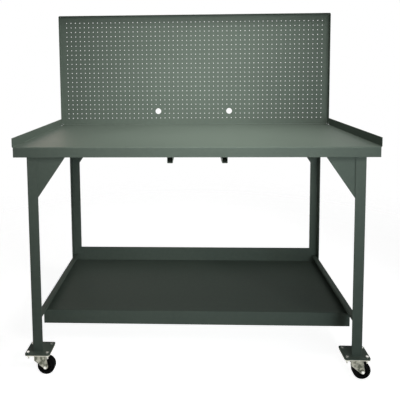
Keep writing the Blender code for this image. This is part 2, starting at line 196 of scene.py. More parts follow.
class BenchSizes(PropertyGroup):
    """Sheets, bends and welds of the bench, as the frame's boxes don't give them."""

    clearance: length("Clearance", "Gap that touching pieces keep", 0.0003)
    fold_relief: length("Fold relief", "Corner nipped off a blank so that its flanges can fold", 0.0015)
    sheet_edge: length("Sheet edge", "Rounding of the cut edges of sheet and plate", 0.0004)
    worktop_sheet: length("Worktop sheet", "Thickness of the worktop", 0.0027)
    worktop_bend: length("Worktop bend", "Inner bend radius of the worktop", 0.002)
    stop_setback: length("Stop setback", "Gap between the side stops and the tool panel", 0.008)
    panel_sheet: length("Panel sheet", "Thickness of the tool panel", 0.0015)
    panel_bend: length("Panel bend", "Inner bend radius of the tool panel", 0.0015)
    leg_sheet: length("Leg sheet", "Thickness of the leg angles", 0.0034)
    leg_bend: length("Leg bend", "Inner bend radius of the leg angles", 0.0025)
    gusset_lap: length("Gusset lap", "Width of the gusset that lies on the leg", 0.020)
    gusset_nip: length("Gusset nip", "Height of the blunt inner tip of the gusset", 0.008)
    stiffener_sheet: length("Stiffener sheet", "Thickness of the channels under the worktop", 0.002)
    stiffener_bend: length("Stiffener bend", "Inner bend radius of the channels", 0.0015)
    shelf_sheet: length("Shelf sheet", "Thickness of the shelf and its rails", 0.0027)
    shelf_bend: length("Shelf bend", "Inner bend radius of the shelf and its rails", 0.002)
    shelf_back_gap: length("Shelf back gap", "Gap between the shelf's back lip and the rails", 0.0028)
    rail_lip: length("Rail lip", "Height of the inner side of the rails", 0.011)
    plate_corner: length("Plate corner", "Corner radius of the foot plates and caster plates", 0.010)
    bead_radius: length("Weld bead", "Radius of the weld beads", 0.0026)
    puddle_pitch: length("Weld ripple", "Distance between two ripples of a weld bead", 0.0024)


class PegSizes(PropertyGroup):
    """The grid of peg holes and the two cable holes."""

    columns: IntProperty(name="Columns", description="Peg holes across the panel", default=58, min=2)
    rows: IntProperty(name="Rows", description="Peg holes up the panel", default=22, min=4)
    margin: length("Margin", "Edge of the panel to the middle of the outer holes", 0.0381)
    radius: length("Peg hole", "Radius of a peg hole", 0.0024)
    cable_radius: length("Cable hole", "Radius of a cable hole", 0.0165)
    cable_column: IntProperty(name="Cable column", description="Peg columns outside a cable hole", default=20)


class CasterSizes(PropertyGroup):
    """Small shapes of the casters and their bolts."""

    bolt_radius: length("Bolt", "Radius of the bolts", 0.004)
    thread_pitch: length("Thread pitch", "Pitch of the threads", 0.00125)
    thread_depth: length("Thread depth", "Depth of the threads", 0.0006)
    bolt_head: length("Bolt head", "Height of the bolt heads", 0.0053)
    bolt_nut: length("Bolt nut", "Height of the bolt nuts", 0.0065)
    hex_chamfer: length("Hexagon chamfer", "Rounding of a hexagon's top corners", 0.0008)
    washer_sheet: length("Washer", "Thickness of the washer face of a head or nut", 0.0008)
    kingpin_radius: length("Kingpin", "Radius of the kingpin in the fork", 0.006)
    race_height: length("Race", "Height of the upper race", 0.0075)
    kingpin_head: length("Kingpin head", "Height of the riveted head", 0.004)
    fork_sheet: length("Fork sheet", "Thickness of the fork", 0.0028)
    fork_bend: length("Fork bend", "Inner bend radius of the fork", 0.0022)
    fork_knee: length("Fork knee", "Height of the fork's upright front edge", 0.028)
    fork_shoulder: length("Fork shoulder", "Kingpin to the top of the fork's rear edge", 0.030)
    fork_eye: length("Fork eye", "Radius of the fork's end round the axle", 0.0105)
    fork_rim: length("Fork rim", "Width of the flat rim round the pressed side", 0.0030)
    fork_press: length("Fork pressing", "Depth of the pressed side", 0.0008)
    axle_radius: length("Axle", "Radius of the axle", 0.0047)
    axle_head: length("Axle head", "Height of the axle's head", 0.006)
    axle_nut: length("Axle nut", "Height of the axle's nut", 0.008)
    tread_round: length("Tread shoulder", "Shoulder radius of the tread", 0.006)
    tread_depth: length("Tread depth", "Thickness of the tread", 0.010)
    tread_seam: length("Tread seam", "Height of the moulding seam round the tread", 0.0003)
    hub_radius: length("Hub", "Radius of the wheel's hub", 0.012)
    web: length("Web", "Thickness of the wheel's web", 0.008)
    rim_depth: length("Rim", "Thickness of the wheel's rim", 0.004)
    rim_inset: length("Rim inset", "Step from the tread's side in to the rim", 0.0015)
    moulded_edge: length("Moulded edge", "Rounding of the moulded edges", 0.0008)


class BenchFinish(PropertyGroup):
    """Paints, platings and mouldings."""

    enamel: tint("Enamel", "Grey-green bench enamel", (0.111, 0.138, 0.115))
    enamel_edge: tint("Enamel on edges", "Thinner, paler enamel on folds and edges", (0.125, 0.150, 0.126))
    enamel_gloss: share("Enamel roughness", "Roughness of the enamel", 0.55)
    zinc: tint("Zinc", "Bright zinc plate", (0.56, 0.55, 0.47))
    # Painted shade: the forks' yellow zinc is set far darker than the plating itself, to stand in for shade
    # on the forks
    yellow_zinc: tint("Yellow zinc", "Dull yellow zinc plate of the forks", (0.100, 0.106, 0.082))
    bolt_zinc: tint("Bolt zinc", "Zinc plate of the fasteners", (0.80, 0.80, 0.77))
    zinc_gloss: share("Zinc roughness", "Roughness of the zinc plate", 0.28)
    tread: tint("Tread", "Moulded tread", (0.003, 0.003, 0.003))
    core: tint("Wheel core", "Moulded wheel core", (0.008, 0.008, 0.008))


# Places that the frame gives


def low(node):
    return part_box(node)[0]


def high(node):
    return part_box(node)[1]


def middle(node):
    lowest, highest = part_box(node)
    return (lowest + highest) / 2


def extent(node):
    lowest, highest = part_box(node)
    return highest - lowest


# Folded sheet


def new_sheet():
    """An empty sheet. The layer "edge" of its faces holds how worn the finish is there."""
    sheet = bmesh.new()
    sheet.faces.layers.float.new("edge")
    return sheet


def blank(width, depth, relief=0):
    """A flat blank in the XY plane that faces +Z, with its corners nipped off by the relief."""
    sheet = new_sheet()
    bmesh.ops.create_grid(sheet, x_segments=1, y_segments=1, size=1)
    bmesh.ops.scale(sheet, vec=(width / 2, depth / 2, 1), verts=sheet.verts)
    nip_corners(sheet, relief)
    return sheet


def nip_corners(sheet, relief):
    """Cuts the corners of a flat blank, where only two outer edges meet."""
    if relief:
        tips = [vert for vert in sheet.verts if len(vert.link_edges) == 2]
        bmesh.ops.bevel(
            sheet, geom=tips, offset=relief, segments=1, profile=0.5, affect="VERTICES", material=-1
        )


def split(sheet, axis, value):
    """Divides the blank across an axis, so that only one part of an edge can be folded."""
    normal = Vector((axis == 0, axis == 1, 0))
    everything = sheet.verts[:] + sheet.edges[:] + sheet.faces[:]
    bmesh.ops.bisect_plane(sheet, geom=everything, plane_co=normal * value, plane_no=normal)


def edges_at(sheet, axis, value, clearance, lowest=-inf, highest=inf):
    """The outer edges of the flat that lie at a value of one axis, between two values of the other."""
    found = []
    for edge in sheet.edges:
        ends = [vert.co for vert in edge.verts]
        center = (ends[0] + ends[1]) / 2
        on_line = all(abs(end[axis] - value) < clearance and abs(end.z) < clearance for end in ends)
        if on_line and edge.is_boundary and lowest < center[1 - axis] < highest:
            found.append(edge)
    return found


def run_on(sheet, edges, step):
    """Carries the sheet on from some of its edges, straight along the step."""
    grown = bmesh.ops.extrude_edge_only(sheet, edges=edges)["geom"]
    moved = [item for item in grown if isinstance(item, bmesh.types.BMVert)]
    bmesh.ops.translate(sheet, verts=moved, vec=step)
    return [item for item in grown if isinstance(item, bmesh.types.BMEdge) and item.is_boundary]


def fold(sheet, edges, outward, side, radius, height):
    """Bends the sheet at its edges up (side 1) or down (side -1) until it reaches a height."""
    toward = Vector((0, 0, side))
    center = edges[0].verts[0].co + toward * radius
    flat_faces = set(sheet.faces)
    swept = bmesh.ops.spin(
        sheet,
        geom=edges,
        cent=center,
        axis=Vector(outward).cross(toward),
        angle=pi / 2,
        steps=bend_facets,
    )
    worn = sheet.faces.layers.float["edge"]
    for face in sheet.faces:
        if face not in flat_faces:
            face[worn] = bend_wear
    ends = [item for item in swept["geom_last"] if isinstance(item, bmesh.types.BMEdge)]
    flat_faces = set(sheet.faces)
    run_on(sheet, ends, toward * (height - radius))
    for face in sheet.faces:
        if face not in flat_faces:
            face[worn] = 0


def turn_flat_up(sheet, clearance):
    """Merges the sheet's doubles, and turns its flat to face +Z."""
    bmesh.ops.remove_doubles(sheet, verts=sheet.verts, dist=clearance / merge_divisor)
    bmesh.ops.recalc_face_normals(sheet, faces=sheet.faces)
    flat = max(sheet.faces, key=lambda face: face.calc_area() * abs(face.normal.z))
    if flat.normal.z < 0:
        bmesh.ops.reverse_faces(sheet, faces=sheet.faces)


def round_edges(solid, radius, turn=square_turn, shortest=0):
    """Rounds the solid's edges that turn more than an angle, and marks them as worn."""
    worn = solid.faces.layers.float.get("edge") or solid.faces.layers.float.new("edge")
    turned = [
        edge
        for edge in solid.edges
        if edge.is_manifold and edge.calc_face_angle() > turn and edge.calc_length() > shortest
    ]
    made = bmesh.ops.bevel(
        solid,
        geom=turned,
        offset=radius,
        segments=edge_facets,
        profile=0.5,
        affect="EDGES",
        material=-1,
        clamp_overlap=True,
    )
    for face in made["faces"]:
        face[worn] = 1


def finish_sheet(sheet, thickness, sizes, shortest=0):
    """Thickens the folded sheet under its flat, and rounds its cut edges."""
    turn_flat_up(sheet, sizes.clearance)
    bmesh.ops.solidify(sheet, geom=sheet.faces[:], thickness=thickness)
    round_edges(sheet, sizes.sheet_edge, shortest=shortest)


def turn_to(location, turn=(0, 0, 0)):
    return Matrix.Translation(location) @ Euler(turn).to_matrix().to_4x4()


# Plates, turned pieces and fasteners


def ring_points(x, y, radius, facets):
    turns = [2 * pi * step / facets for step in range(facets)]
    return [(x + radius * cos(turn), y + radius * sin(turn)) for turn in turns]


def rounded_rectangle(width, depth, corner):
    points = []
    for quarter, (side_x, side_y) in enumerate(((1, 1), (-1, 1), (-1, -1), (1, -1))):
        center_x = side_x * (width / 2 - corner)
        center_y = side_y * (depth / 2 - corner)
        for step in range(corner_facets + 1):
            turn = pi / 2 * (quarter + step / corner_facets)
            points.append((center_x + corner * cos(turn), center_y + corner * sin(turn)))
    return points


def draw_outline(solid, outline):
    """Edges of one closed outline in the XY plane."""
    verts = [solid.verts.new((x, y, 0)) for x, y in outline]
    return [solid.edges.new((verts[index - 1], verts[index])) for index in range(len(verts))]


def cut_plate(outlines, thickness):
    """A plate about the XY plane. Its edge comes first, and the other outlines are holes."""
    plate = bmesh.new()
    edges = []
    for outline in outlines:
        edges += draw_outline(plate, outline)
    bmesh.ops.triangle_fill(plate, edges=edges, use_beauty=True, normal=(0, 0, 1))
    inner = [edge for edge in plate.edges if not edge.is_boundary]
    bmesh.ops.dissolve_limit(plate, angle_limit=flat_turn, verts=plate.verts, edges=inner)
    face_up(plate)
    bmesh.ops.translate(plate, verts=plate.verts, vec=(0, 0, thickness / 2))
    bmesh.ops.solidify(plate, geom=plate.faces[:], thickness=thickness)
    return plate


def face_up(flat):
    for face in flat.faces:
        if face.normal.z < 0:
            face.normal_flip()


def turned(solid, points, facets):
    """Spins a closed profile of radii and heights about Z, and adds it to the solid."""
    verts = [solid.verts.new((radius, 0, height)) for radius, height in points]
    edges = [solid.edges.new((start, end)) for start, end in zip(verts, verts[1:])]
    if min(points[0][0], points[-1][0]) > 0:
        edges.append(solid.edges.new((verts[-1], verts[0])))
    bmesh.ops.spin(
        solid, geom=verts + edges, cent=(0, 0, 0), axis=(0, 0, 1), angle=2 * pi, steps=facets, use_merge=True
    )


def settle(solid, clearance):
    """Merges what the spin or the fill left double, and turns every face outwards."""
    bmesh.ops.remove_doubles(solid, verts=solid.verts, dist=clearance / merge_divisor)
    loose = [vert for vert in solid.verts if not vert.link_faces]
    bmesh.ops.delete(solid, geom=loose, context="VERTS")
    bmesh.ops.recalc_face_normals(solid, faces=solid.faces)


def hexagon(solid, radius, start, height, chamfer):
    """A hexagon along Z from its seat, its far corners cut back as on a bolt's head."""
    center = start + height / 2
    made = bmesh.ops.create_cone(
        solid,
        cap_ends=True,
        segments=6,
        radius1=radius,
        radius2=radius,
        depth=abs(height),
        matrix=Matrix.Translation((0, 0, center)),
    )
    outward = Vector((0, 0, 1 if height > 0 else -1))
    flat_radius = radius * cos(pi / 6)
    rise = (radius - flat_radius) * hex_steepness
    parts = set(made["verts"])
    for step in range(6):
        turn = pi / 3 * step
        for lean in (-hex_lean, hex_lean):
            aside = Vector((cos(turn + lean), sin(turn + lean), 0))
            point = aside * flat_radius + Vector((0, 0, start + height))
            normal = (aside * chamfer + outward * rise).normalized()
            geometry = [face for face in solid.faces if parts.issuperset(face.verts)]
            edges = {edge for face in geometry for edge in face.edges}
            cut = bmesh.ops.bisect_plane(
                solid,
                geom=list(parts) + list(edges) + geometry,
                plane_co=point,
                plane_no=normal,
                clear_outer=True,
            )
            rim = [item for item in cut["geom_cut"] if isinstance(item, bmesh.types.BMEdge)]
            parts = {vert for vert in parts if vert.is_valid}
            parts |= {vert for edge in rim for vert in edge.verts}
            if rim:
                bmesh.ops.edgeloop_fill(solid, edges=rim)


def thread(solid, radius, start, end, pitch, depth, facets):
    """A threaded shank along Z, its ridges as rings, with a chamfered end."""
    ridges = max(1, round(abs(end - start) / pitch))
    step = (end - start) / ridges
    points = [(0, start), (radius, start)]
    for ridge in range(ridges):
        points.append((radius - depth, start + step * (ridge + 0.5)))
        crest = radius if ridge < ridges - 1 else radius - depth
        points.append((crest, start + step * (ridge + 1)))
    points.append((0, end))
    turned(solid, points, facets)


def bolt_and_nut(head, nut, radius, shank, tip, casters, facets):
    """A bolt along Z with its nut. Head and nut are each a seat and a height, signed outwards."""
    solid = bmesh.new()
    flat_radius = radius * cos(pi / 6)
    ends = []
    for seat, height in (head, nut):
        washer = casters.washer_sheet if height > 0 else -casters.washer_sheet
        hexagon(solid, radius, seat + washer, height - washer, casters.hex_chamfer)
        ends.append((flat_radius, seat, seat + washer, pin_facets))
    ends.append((shank, head[0], nut[0], facets))
    for reach, start, end, sides in ends:
        turned(solid, [(0, start), (reach, start), (reach, end), (0, end)], sides)
    thread(solid, shank, nut[0], tip, casters.thread_pitch, casters.thread_depth, facets)
    return solid


# Finished pieces


def to_mesh(name, solid):
    mesh = bpy.data.meshes.new(name)
    solid.to_mesh(mesh)
    solid.free()
    return mesh


def add_object(name, data):
    added = bpy.data.objects.new(name, data)
    bpy.context.scene.collection.objects.link(added)
    return added


def add_piece(name, solid, material, nodes, body, matrix=None):
    """Makes the mesh in its place, shades it, and lets it stand for its nodes on their body."""
    mesh = to_mesh(name, solid)
    if matrix:
        mesh.transform(matrix)
    mesh.shade_smooth()
    mesh.set_sharp_from_angle(angle=sharp_turn)
    mesh.materials.append(material)
    piece = add_object(name, mesh)
    shading = piece.modifiers.new("flat_faces_stay_flat", "WEIGHTED_NORMAL")
    shading.keep_sharp = True
    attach(piece, body)
    if nodes:
        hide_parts(*nodes)
    return piece


def add_painted(name, solid, node, matrix):
    """A painted piece of the bench itself, in place of its node."""
    return add_piece(name, solid, enamel(), [node], "bench", matrix)


def bore(piece, radius, depth, matrix):
    """Cuts a round hole through a finished piece."""
    tool = bmesh.new()
    bmesh.ops.create_cone(
        tool, cap_ends=True, segments=bore_facets, radius1=radius, radius2=radius, depth=depth
    )
    cutter = add_object("bore", to_mesh("bore", tool))
    cutter.data.transform(matrix)
    cut = piece.modifiers.new("bore", "BOOLEAN")
    cut.operation = "DIFFERENCE"
    cut.solver = "EXACT"
    cut.object = cutter
    piece.modifiers.move(len(piece.modifiers) - 1, 0)
    shading = piece.modifiers["flat_faces_stay_flat"]
    shading.show_viewport = False
    graph = bpy.context.evaluated_depsgraph_get()
    finished = bpy.data.meshes.new_from_object(piece.evaluated_get(graph))
    finished.name = piece.data.name
    piece.modifiers.remove(cut)
    piece.data = finished
    shading.show_viewport = True
    bpy.data.objects.remove(cutter)
    finished.set_sharp_from_angle(angle=sharp_turn)


# The bench


def build_worktop(sizes):
    """The front and rear lips go down, and the side stops go up and end before the tool panel."""
    lowest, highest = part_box("worktop")
    surface = low("pegboard_panel").z - sizes.clearance
    outer = sizes.worktop_bend + sizes.worktop_sheet
    flat_x = highest.x - outer
    flat_y = highest.y - outer
    stop_end = low("pegboard_panel").y - sizes.stop_setback
    sheet = blank(2 * flat_x, 2 * flat_y, sizes.fold_relief)
    split(sheet, 1, stop_end)
    for side in (-1, 1):
        lip = edges_at(sheet, 1, side * flat_y, sizes.clearance)
        fold(sheet, lip, (0, side, 0), -1, outer, surface - lowest.z)
    for side in (-1, 1):
        stop = edges_at(sheet, 0, side * flat_x, sizes.clearance, highest=stop_end)
        fold(sheet, stop, (side, 0, 0), 1, sizes.worktop_bend, highest.z - surface)
    finish_sheet(sheet, sizes.worktop_sheet, sizes)
    place = turn_to((0, 0, surface))
    add_painted("worktop_sheet", sheet, "worktop", place)


def peg_grid(pegs, width, height):
    """Column and row pitch of the peg holes."""
    pitch_x = (width - 2 * pegs.margin) / (pegs.columns - 1)
    pitch_y = (height - 2 * pegs.margin) / (pegs.rows - 1)
    return pitch_x, pitch_y


def holed_cell(outline, radius, facets):
    """One flat cell of the panel with a round hole in its middle."""
    cell = new_sheet()
    edges = draw_outline(cell, outline) + draw_outline(cell, ring_points(0, 0, radius, facets))
    bmesh.ops.triangle_fill(cell, edges=edges, use_beauty=True, normal=(0, 0, 1))
    face_up(cell)
    return to_mesh("cell", cell)


def lay_cells(board, mesh, places):
    """Adds a copy of the cell at each place."""
    last = Vector((0, 0, 0))
    for place in places:
        mesh.transform(Matrix.Translation(place - last))
        board.from_mesh(mesh)
        last = place
    bpy.data.meshes.remove(mesh)


def build_tool_panel(sizes, pegs):
    """A tray on edge, punched with the grid of peg holes and two cable holes."""
    size = extent("pegboard_panel")
    outer = sizes.panel_bend + sizes.panel_sheet
    pitch_x, pitch_y = peg_grid(pegs, size.x, size.z)
    near = [pegs.cable_column, pegs.cable_column + 1]
    cable_columns = near + [pegs.columns - 1 - column for column in near]
    cable_rows = (pegs.rows - 3, pegs.rows - 2)

    def place(column, row):
        across = (column - (pegs.columns - 1) / 2) * pitch_x
        along = (row - (pegs.rows - 1) / 2) * pitch_y
        return Vector((across, along, 0))

    half_x, half_y = pitch_x / 2, pitch_y / 2
    peg_outline = [(-half_x, -half_y), (half_x, -half_y), (half_x, half_y), (-half_x, half_y)]
    peg_places = [
        place(column, row)
        for row in range(pegs.rows)
        for column in range(pegs.columns)
        if not (row in cable_rows and column in cable_columns)
    ]
    cable_outline = [
        (across * pitch_x, along * pitch_y)
        for across, along in ((-1, -1), (0, -1), (1, -1), (1, 0), (1, 1), (0, 1), (-1, 1), (-1, 0))
    ]
    cable_places = [
        (place(column, cable_rows[0]) + place(column + 1, cable_rows[1])) / 2
        for column in (min(near), pegs.columns - 1 - max(near))
    ]
    board = new_sheet()
    lay_cells(board, holed_cell(peg_outline, pegs.radius, peg_facets), peg_places)
    lay_cells(board, holed_cell(cable_outline, pegs.cable_radius, pin_facets), cable_places)
    bmesh.ops.remove_doubles(board, verts=board.verts, dist=sizes.clearance / merge_divisor)
    flat_x = size.x / 2 - outer
    flat_y = size.z / 2 - outer
    grid_x = pegs.columns * pitch_x / 2
    grid_y = pegs.rows * pitch_y / 2
    for axis, inner, edge in ((0, grid_x, flat_x), (1, grid_y, flat_y)):
        for side in (-1, 1):
            step = Vector((axis == 0, axis == 1, 0)) * side * (edge - inner)
            run_on(board, edges_at(board, axis, side * inner, sizes.clearance), step)
    bmesh.ops.remove_doubles(board, verts=board.verts, dist=sizes.clearance / merge_divisor)
    nip_corners(board, sizes.fold_relief)
    for side in (-1, 1):
        for axis, edge in ((1, flat_y), (0, flat_x)):
            outward = Vector((axis == 0, axis == 1, 0)) * side
            fold(board, edges_at(board, axis, side * edge, sizes.clearance), outward, -1, outer, size.y)
    finish_sheet(board, sizes.panel_sheet, sizes, shortest=pitch_x / 2)
    back = Vector((0, high("pegboard_panel").y, middle("pegboard_panel").z))
    matrix = turn_to(back, (-pi / 2, 0, 0))
    add_painted("tool_panel_sheet", board, "pegboard_panel", matrix)


def build_legs(sizes):
    """Angles folded from sheet, open towards the middle of the bench."""
    outer = sizes.leg_bend + sizes.leg_sheet
    for corner, (side_x, side_y) in corners.items():
        node = f"leg_{corner}"
        size = extent(node)
        flat_x = (size.x - outer) / 2
        sheet = blank(2 * flat_x, size.z)
        fold(sheet, edges_at(sheet, 0, flat_x, sizes.clearance), (1, 0, 0), -1, outer, size.y)
        finish_sheet(sheet, sizes.leg_sheet, sizes)
        bmesh.ops.translate(sheet, verts=sheet.verts, vec=(-outer / 2, 0, size.y / 2))
        matrix = turn_to(middle(node), (pi / 2, 0, atan2(side_y, side_x) + pi / 4))
        add_painted(f"{node}_angle", sheet, node, matrix)


def build_gussets(sizes):
    """Triangular plates with a blunt inner tip, lapped on the backs of the legs."""
    for corner, (side_x, side_y) in corners.items():
        node = f"gusset_{corner}"
        size = extent(node)
        half_x, half_z = size.x / 2, size.z / 2
        inner_x = half_x - sizes.gusset_lap
        outline = [
            (half_x, half_z),
            (-half_x, half_z),
            (-half_x, half_z - sizes.gusset_nip),
            (inner_x, -half_z),
            (half_x, -half_z),
        ]
        plate = cut_plate([outline], size.y)
        round_edges(plate, sizes.sheet_edge, turn=sharp_turn)
        matrix = turn_to(middle(node), (pi / 2, 0, 0 if side_x > 0 else pi))
        add_painted(f"{node}_plate", plate, node, matrix)


def build_stiffeners(sizes):
    """Channels that stand open side up against the worktop."""
    outer = sizes.stiffener_bend + sizes.stiffener_sheet
    for node in ("stiffener_left", "stiffener_right"):
        size = extent(node)
        flat_x = size.x / 2 - outer
        sheet = blank(2 * flat_x, size.y)
        for side in (-1, 1):
            edges = edges_at(sheet, 0, side * flat_x, sizes.clearance)
            fold(sheet, edges, (side, 0, 0), -1, outer, size.z)
        finish_sheet(sheet, sizes.stiffener_sheet, sizes)
        center = middle(node)
        matrix = turn_to((center.x, center.y, low(node).z), (pi, 0, 0))
        add_painted(f"{node}_channel", sheet, node, matrix)


def build_shelf(sizes):
    """The floor runs out under the rails to the legs, and the back lip stands between the rails."""
    lowest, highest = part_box("shelf")
    floor = low("side_rail_right").z - sizes.clearance
    outer = sizes.shelf_bend + sizes.shelf_sheet
    half_back = low("side_rail_right").x - sizes.shelf_back_gap
    depth = highest.y - lowest.y - 2 * outer
    sheet = blank(highest.x - lowest.x, depth)
    for side in (-1, 1):
        split(sheet, 0, side * half_back)
    lip = edges_at(sheet, 1, -depth / 2, sizes.clearance)
    fold(sheet, lip, (0, -1, 0), -1, outer, floor - lowest.z)
    back = edges_at(sheet, 1, depth / 2, sizes.clearance, -half_back, half_back)
    fold(sheet, back, (0, 1, 0), 1, sizes.shelf_bend, highest.z - floor)
    finish_sheet(sheet, sizes.shelf_sheet, sizes)
    place = turn_to((0, (lowest.y + highest.y) / 2, floor))
    add_painted("shelf_sheet", sheet, "shelf", place)


def build_side_rails(sizes):
    """Channels open downwards, whose outer sides stand on the shelf's floor against the legs."""
    outer = sizes.shelf_bend + sizes.shelf_sheet
    for side_x, node in ((-1, "side_rail_left"), (1, "side_rail_right")):
        size = extent(node)
        flat_x = size.x / 2 - outer
        sheet = blank(2 * flat_x, size.y)
        for side, drop in ((side_x, size.z), (-side_x, sizes.rail_lip)):
            fold(sheet, edges_at(sheet, 0, side * flat_x, sizes.clearance), (side, 0, 0), -1, outer, drop)
        finish_sheet(sheet, sizes.shelf_sheet, sizes)
        matrix = turn_to((middle(node).x, 0, high(node).z))
        add_painted(f"{node}_channel", sheet, node, matrix)


def bolt_holes(corner, casters, clearance, center):
    """Outlines of the four bolt holes about a plate's middle."""
    outlines = []
    for number in range(1, 5):
        place = middle(f"caster_bolt_{corner}_{number}") - center
        outlines.append(ring_points(place.x, place.y, casters.bolt_radius + 2 * clearance, bore_facets))
    return outlines


def drilled_plate(node, corner, sizes, casters, holes=()):
    """A plate with rounded corners, the bolt holes of its caster, and other holes."""
    size = extent(node)
    outline = rounded_rectangle(size.x, size.y, sizes.plate_corner)
    bolts = bolt_holes(corner, casters, sizes.clearance, middle(node))
    plate = cut_plate([outline, *bolts, *holes], size.z)
    round_edges(plate, sizes.sheet_edge)
    return plate


def build_foot_plates(sizes, casters):
    """Plates welded under the legs, which the casters are bolted to."""
    for corner in corners:
        node = f"foot_plate_{corner}"
        plate = drilled_plate(node, corner, sizes, casters)
        add_painted(f"{node}_steel", plate, node, turn_to(middle(node)))


# Welds


def lay_bead(weld, start, end, radius, pitch):
    """A bead of weld metal from start to end, rippled where each puddle froze."""
    run = end - start
    ripples = max(2, round(run.length / pitch))
    steps = ripples * steps_per_ripple
    turn = run.to_track_quat("Z", "Y").to_matrix().to_4x4()
    ring = bmesh.ops.create_circle(
        weld,
        cap_ends=True,
        segments=bead_facets,
        radius=radius * bead_end_share,
        matrix=Matrix.Translation(start) @ turn,
    )
    edges = list({edge for vert in ring["verts"] for edge in vert.link_edges})
    last = bead_end_share
    for step in range(1, steps + 1):
        along = step / steps
        swell = 1 - ripple_share * abs(cos(pi * step / steps_per_ripple))
        taper = min(1, bead_end_share + min(along, 1 - along) * ripples)
        edges = run_on(weld, edges, run / steps)
        verts = list({vert for edge in edges for vert in edge.verts})
        center = start + run * along
        ratio = swell * taper / last
        bmesh.ops.scale(weld, vec=(ratio,) * 3, verts=verts, space=Matrix.Translation(-center))
        last = swell * taper
    bmesh.ops.edgeloop_fill(weld, edges=edges)


def build_welds(sizes):
    """The beads of each corner of the bench, and those of its top."""
    for corner, (side_x, side_y) in corners.items():
        weld = bmesh.new()
        lay_leg_welds(weld, corner, side_x, side_y, sizes)
        lay_gusset_welds(weld, corner, side_x, side_y, sizes)
        lay_rail_welds(weld, corner, side_x, side_y, sizes)
        settle(weld, sizes.clearance)
        add_piece(f"weld_beads_{corner}", weld, weld_enamel(), [], "bench")
    weld = bmesh.new()
    lay_panel_welds(weld, sizes)
    lay_stiffener_welds(weld, sizes)
    settle(weld, sizes.clearance)
    add_piece("weld_beads_top", weld, weld_enamel(), [], "bench")


def outer_corner(node, side_x, side_y):
    """The upright edge of a node that faces its corner of the bench, as X and Y."""
    lowest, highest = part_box(node)
    return (highest.x if side_x > 0 else lowest.x), (highest.y if side_y > 0 else lowest.y)


def lay_leg_welds(weld, corner, side_x, side_y, sizes):
    """Round the foot of the leg, outside and inside its angle."""
    size = extent(f"leg_{corner}")
    foot = high(f"foot_plate_{corner}").z
    x, y = outer_corner(f"leg_{corner}", side_x, side_y)
    outer = sizes.leg_bend + sizes.leg_sheet

    def spot(across, along):
        return Vector((x - side_x * across, y - side_y * along, foot))

    for inside in (0, sizes.leg_sheet):
        lines = (
            (spot(outer, inside), spot(size.x, inside)),
            (spot(inside, outer), spot(inside, size.y)),
        )
        for start, end in lines:
            lay_bead(weld, start, end, sizes.bead_radius, sizes.puddle_pitch)


def lay_gusset_welds(weld, corner, side_x, side_y, sizes):
    """Stitches where the gusset laps the leg: at both edges, and boldest at the left front."""
    node = f"gusset_{corner}"
    lowest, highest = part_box(node)
    leg_x, leg_y = outer_corner(f"leg_{corner}", side_x, side_y)
    leg_size = extent(f"leg_{corner}")
    edge_x = leg_x - side_x * leg_size.x
    lap_y = leg_y - side_y * sizes.leg_sheet
    for stitch_share in gusset_stitch_shares:
        middle_z = lowest.z + (highest.z - lowest.z) * stitch_share
        half = Vector((0, 0, stitch_length / 2))
        place = Vector((edge_x, lap_y, middle_z))
        if corner == "front_left" or stitch_share != gusset_stitch_shares[0]:
            radius = sizes.bead_radius if corner == "front_left" else sizes.bead_radius * fine_bead_share
            lay_bead(weld, place - half, place + half, radius, sizes.puddle_pitch)
        inner_x = edge_x + side_x * sizes.gusset_lap
        inner_y = lap_y - side_y * (highest.y - lowest.y)
        place = Vector((inner_x, inner_y, middle_z))
        lay_bead(weld, place - half, place + half, sizes.bead_radius, sizes.puddle_pitch)


def lay_rail_welds(weld, corner, side_x, side_y, sizes):
    """A bead across the end of each rail, on the flat of the leg."""
    node = "side_rail_right" if side_x > 0 else "side_rail_left"
    lowest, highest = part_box(node)
    outer = sizes.shelf_bend + sizes.shelf_sheet
    leg_face = abs(outer_corner(f"leg_{corner}", side_x, side_y)[1]) - sizes.leg_sheet
    y = side_y * (highest.y + leg_face) / 2
    z = highest.z - sizes.shelf_sheet / 2
    start = Vector((lowest.x + outer, y, z))
    end = Vector((highest.x - outer, y, z))
    lay_bead(weld, start, end, leg_face - highest.y, sizes.puddle_pitch)


def lay_panel_welds(weld, sizes):
    """Seams down the four corners of the tool panel, and a tack at the foot of its front corners."""
    lowest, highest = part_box("pegboard_panel")
    inset = (sizes.panel_bend + sizes.panel_sheet + sizes.fold_relief) * seam_share
    for x in (lowest.x + inset, highest.x - inset):
        for z in (lowest.z + inset, highest.z - inset):
            start = Vector((x, lowest.y + inset, z))
            end = Vector((x, highest.y - inset, z))
            lay_bead(weld, start, end, inset, sizes.puddle_pitch)
        foot = Vector((x, lowest.y, lowest.z))
        lay_bead(weld, foot, foot + Vector((0, 0, tack_length)), inset, sizes.puddle_pitch)


def lay_stiffener_welds(weld, sizes):
    """Stitches along both sides of the channels, under the worktop."""
    top = low("pegboard_panel").z - sizes.clearance - sizes.worktop_sheet
    for node in ("stiffener_left", "stiffener_right"):
        lowest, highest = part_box(node)
        for x in (lowest.x, highest.x):
            for stitch_share in channel_stitch_shares:
                y = lowest.y + (highest.y - lowest.y) * stitch_share
                half = Vector((0, stitch_length / 2, 0))
                place = Vector((x, y, top))
                lay_bead(weld, place - half, place + half, sizes.bead_radius, sizes.puddle_pitch)


# The casters


def build_caster_plates(sizes, casters):
    """The casters' top plates, with an eye for the kingpin."""
    for corner in corners:
        node = f"caster_plate_{corner}"
        center = middle(node)
        pin = joint_places[f"swivel_{corner}"] - center
        eye = ring_points(pin.x, pin.y, casters.kingpin_radius + sizes.clearance, pin_facets)
        plate = drilled_plate(node, corner, sizes, casters, [eye])
        add_piece(f"{node}_steel", plate, zinc(), [node], "bench", turn_to(center))


